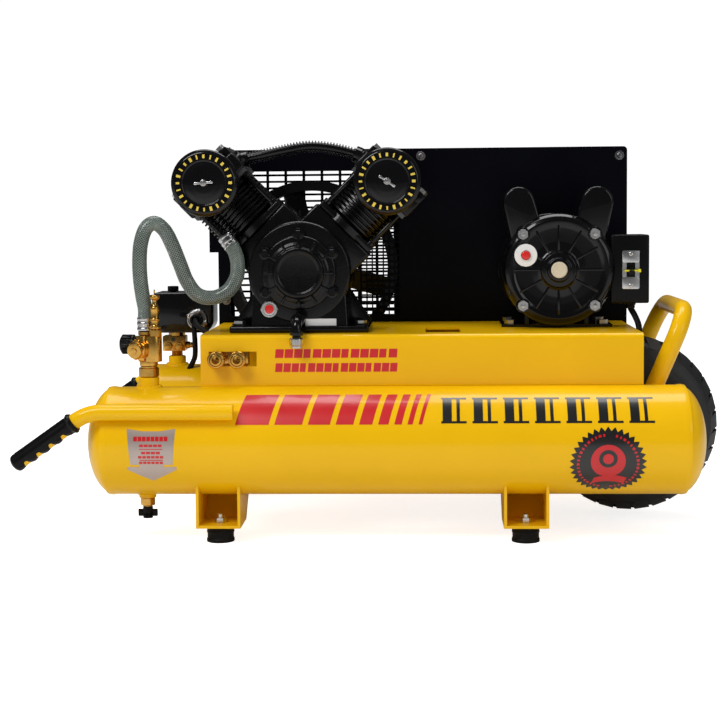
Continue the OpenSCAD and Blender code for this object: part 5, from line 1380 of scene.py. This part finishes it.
def pressure_switch():
    """A moulded cover, a cable clamp with a rubber nose, and the lead that leaves it."""
    lo, hi = SWITCH_LO, SWITCH_HI
    y0 = lo.y + SWITCH_GLAND
    outline = (arc(hi.x - 0.006, hi.z - 0.006, 0.006, 0, 90, 6)
               + arc(lo.x + 0.004, hi.z - 0.004, 0.004, 90, 180, 5)
               + arc(lo.x + 0.003, lo.z + 0.003, 0.003, 180, 270, 4)
               + arc(hi.x - 0.018, lo.z + 0.018, 0.018, 270, 360, 10))
    cover = bevel(front(prism(outline, 0, hi.y - y0), hi.y), 0.0026, 3, 50)
    make("switch_cover", cover, BLACK, stands_for=["pressure_switch"])
    gx, gz = LEAD_ROUTE[-1][0], LEAD_ROUTE[-1][2]
    clamp = lathe(rounded([(0.0066, -0.0005), (0.017, -0.0005), (0.017, 0.006), (0.0152, 0.0085),
                           (0.0142, 0.0085), (0.0142, 0.0048),
                           (0.0066, 0.0048)], 0.0008), 56)
    nose = lathe(rounded([(0.0068, 0.004), (0.0096, 0.004), (0.0096, 0.0235), (0.0088, 0.0245),
                          (0.0068, 0.0245)], 0.0006), 44)
    jaw = [bevel(shift(block(-0.0125, -0.0036, 0.0046, 0.0125, 0.0036, 0.0096), y=s * 0.0108), 0.0014, 2)
           for s in (-1, 1)]
    screws = [shift(screw_head(0.0024, 0.0016), s * 0.0095, 0.0108, 0.0095) for s in (-1, 1)]
    at = along((gx, y0, gz), -Y, radians(24))
    make("cable_clamp", moved(join(clamp, *jaw, *screws), at), STEEL)
    make("clamp_nose", moved(nose, at), RUBBER)
    lead = [(gx - 0.004, y0 - 0.006, gz - 0.006), (gx - 0.004, y0 - 0.014, gz - 0.014),
            (gx - 0.003, y0 - 0.015, gz - 0.03),
            (gx - 0.004, y0 - 0.006, gz - 0.052), (gx - 0.008, y0 + 0.004, gz - 0.066),
            (gx - 0.02, y0 + 0.006, gz - 0.088)]
    make("supply_lead", sweep(smooth_path(lead, 10), 0.0042, 20), RUBBER)


def leads():
    """The round lead from the switch box to the pressure switch."""
    line = smooth_path(LEAD_ROUTE, 8)
    make("round_motor_lead", sweep(line, 0.0045, 20), RUBBER, stands_for=["motor_lead"])


# ---------- stage ----------

def area_light(name, place, target, size, power, color=(1, 1, 1)):
    data = bpy.data.lights.new(name, "AREA")
    data.shape, data.size, data.size_y = "RECTANGLE", size[0], size[1]
    data.energy, data.color = power, color
    light = bpy.data.objects.new(name, data)
    bpy.context.scene.collection.objects.link(light)
    light.matrix_world = along(place, Vector(place) - Vector(target))


def stage():
    """A pale floor that fades into a white surround, and soft lights."""
    pale = surface("floor", (0.93, 0.93, 0.93), 0.6, specular=0.2, mottle=0.01, bump=0.0)
    tree, shader = pale.node_tree, pale.node_tree.nodes["Principled BSDF"]
    shader.inputs["Emission Color"].default_value = (1, 1, 1, 1)
    seen, glow = tree.nodes.new("ShaderNodeLightPath"), tree.nodes.new("ShaderNodeMath")
    glow.operation, glow.inputs[1].default_value = "MULTIPLY", 0.8
    tree.links.new(seen.outputs["Is Camera Ray"], glow.inputs[0])
    tree.links.new(glow.outputs["Value"], shader.inputs["Emission Strength"])
    floor = make("floor", block(-30, -30, -0.02, 30, 30, 0), pale)
    floor.parent = None
    del floor["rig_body"]
    world = bpy.data.worlds.new("studio")
    world.use_nodes = True
    tree = world.node_tree
    back = tree.nodes["Background"]
    rays = tree.nodes.new("ShaderNodeLightPath")
    seen, level = tree.nodes.new("ShaderNodeMath"), tree.nodes.new("ShaderNodeMath")
    for n, ray, factor in ((seen, "Is Camera Ray", 0.78), (level, "Is Glossy Ray", -0.17)):
        n.operation, n.inputs[1].default_value = "MULTIPLY_ADD", factor
        tree.links.new(rays.outputs[ray], n.inputs[0])
    seen.inputs[2].default_value = 0.27
    tree.links.new(seen.outputs["Value"], level.inputs[2])
    tree.links.new(level.outputs["Value"], back.inputs["Strength"])
    back.inputs["Color"].default_value = (1, 1, 1, 1)
    bpy.context.scene.world = world
    area_light("key", (-1.5, -2.0, 2.6), (0, 0, 0.25), (1.5, 1.0), 52)
    area_light("fill", (2.4, -2.0, 1.4), (0, 0, 0.25), (1.8, 1.4), 13)
    area_light("top", (0, 0.5, 2.8), (0, 0, 0.3), (2.2, 1.2), 42)
    bpy.context.scene.view_settings.view_transform = "Standard"


make_camera()
discharge_hose()
paint_cad()
tanks()
rubber_feet()
grips()
tyre()
wheel()
tube_welds()
cylinders()
heads()
filters()
air_tubes()
crankcase()
pump_trim()
motor()
switch_box()
tank_marks()
flange_marks()
guard_trim()
fittings()
knobs_and_valves()
pressure_switch()
leads()
stage()
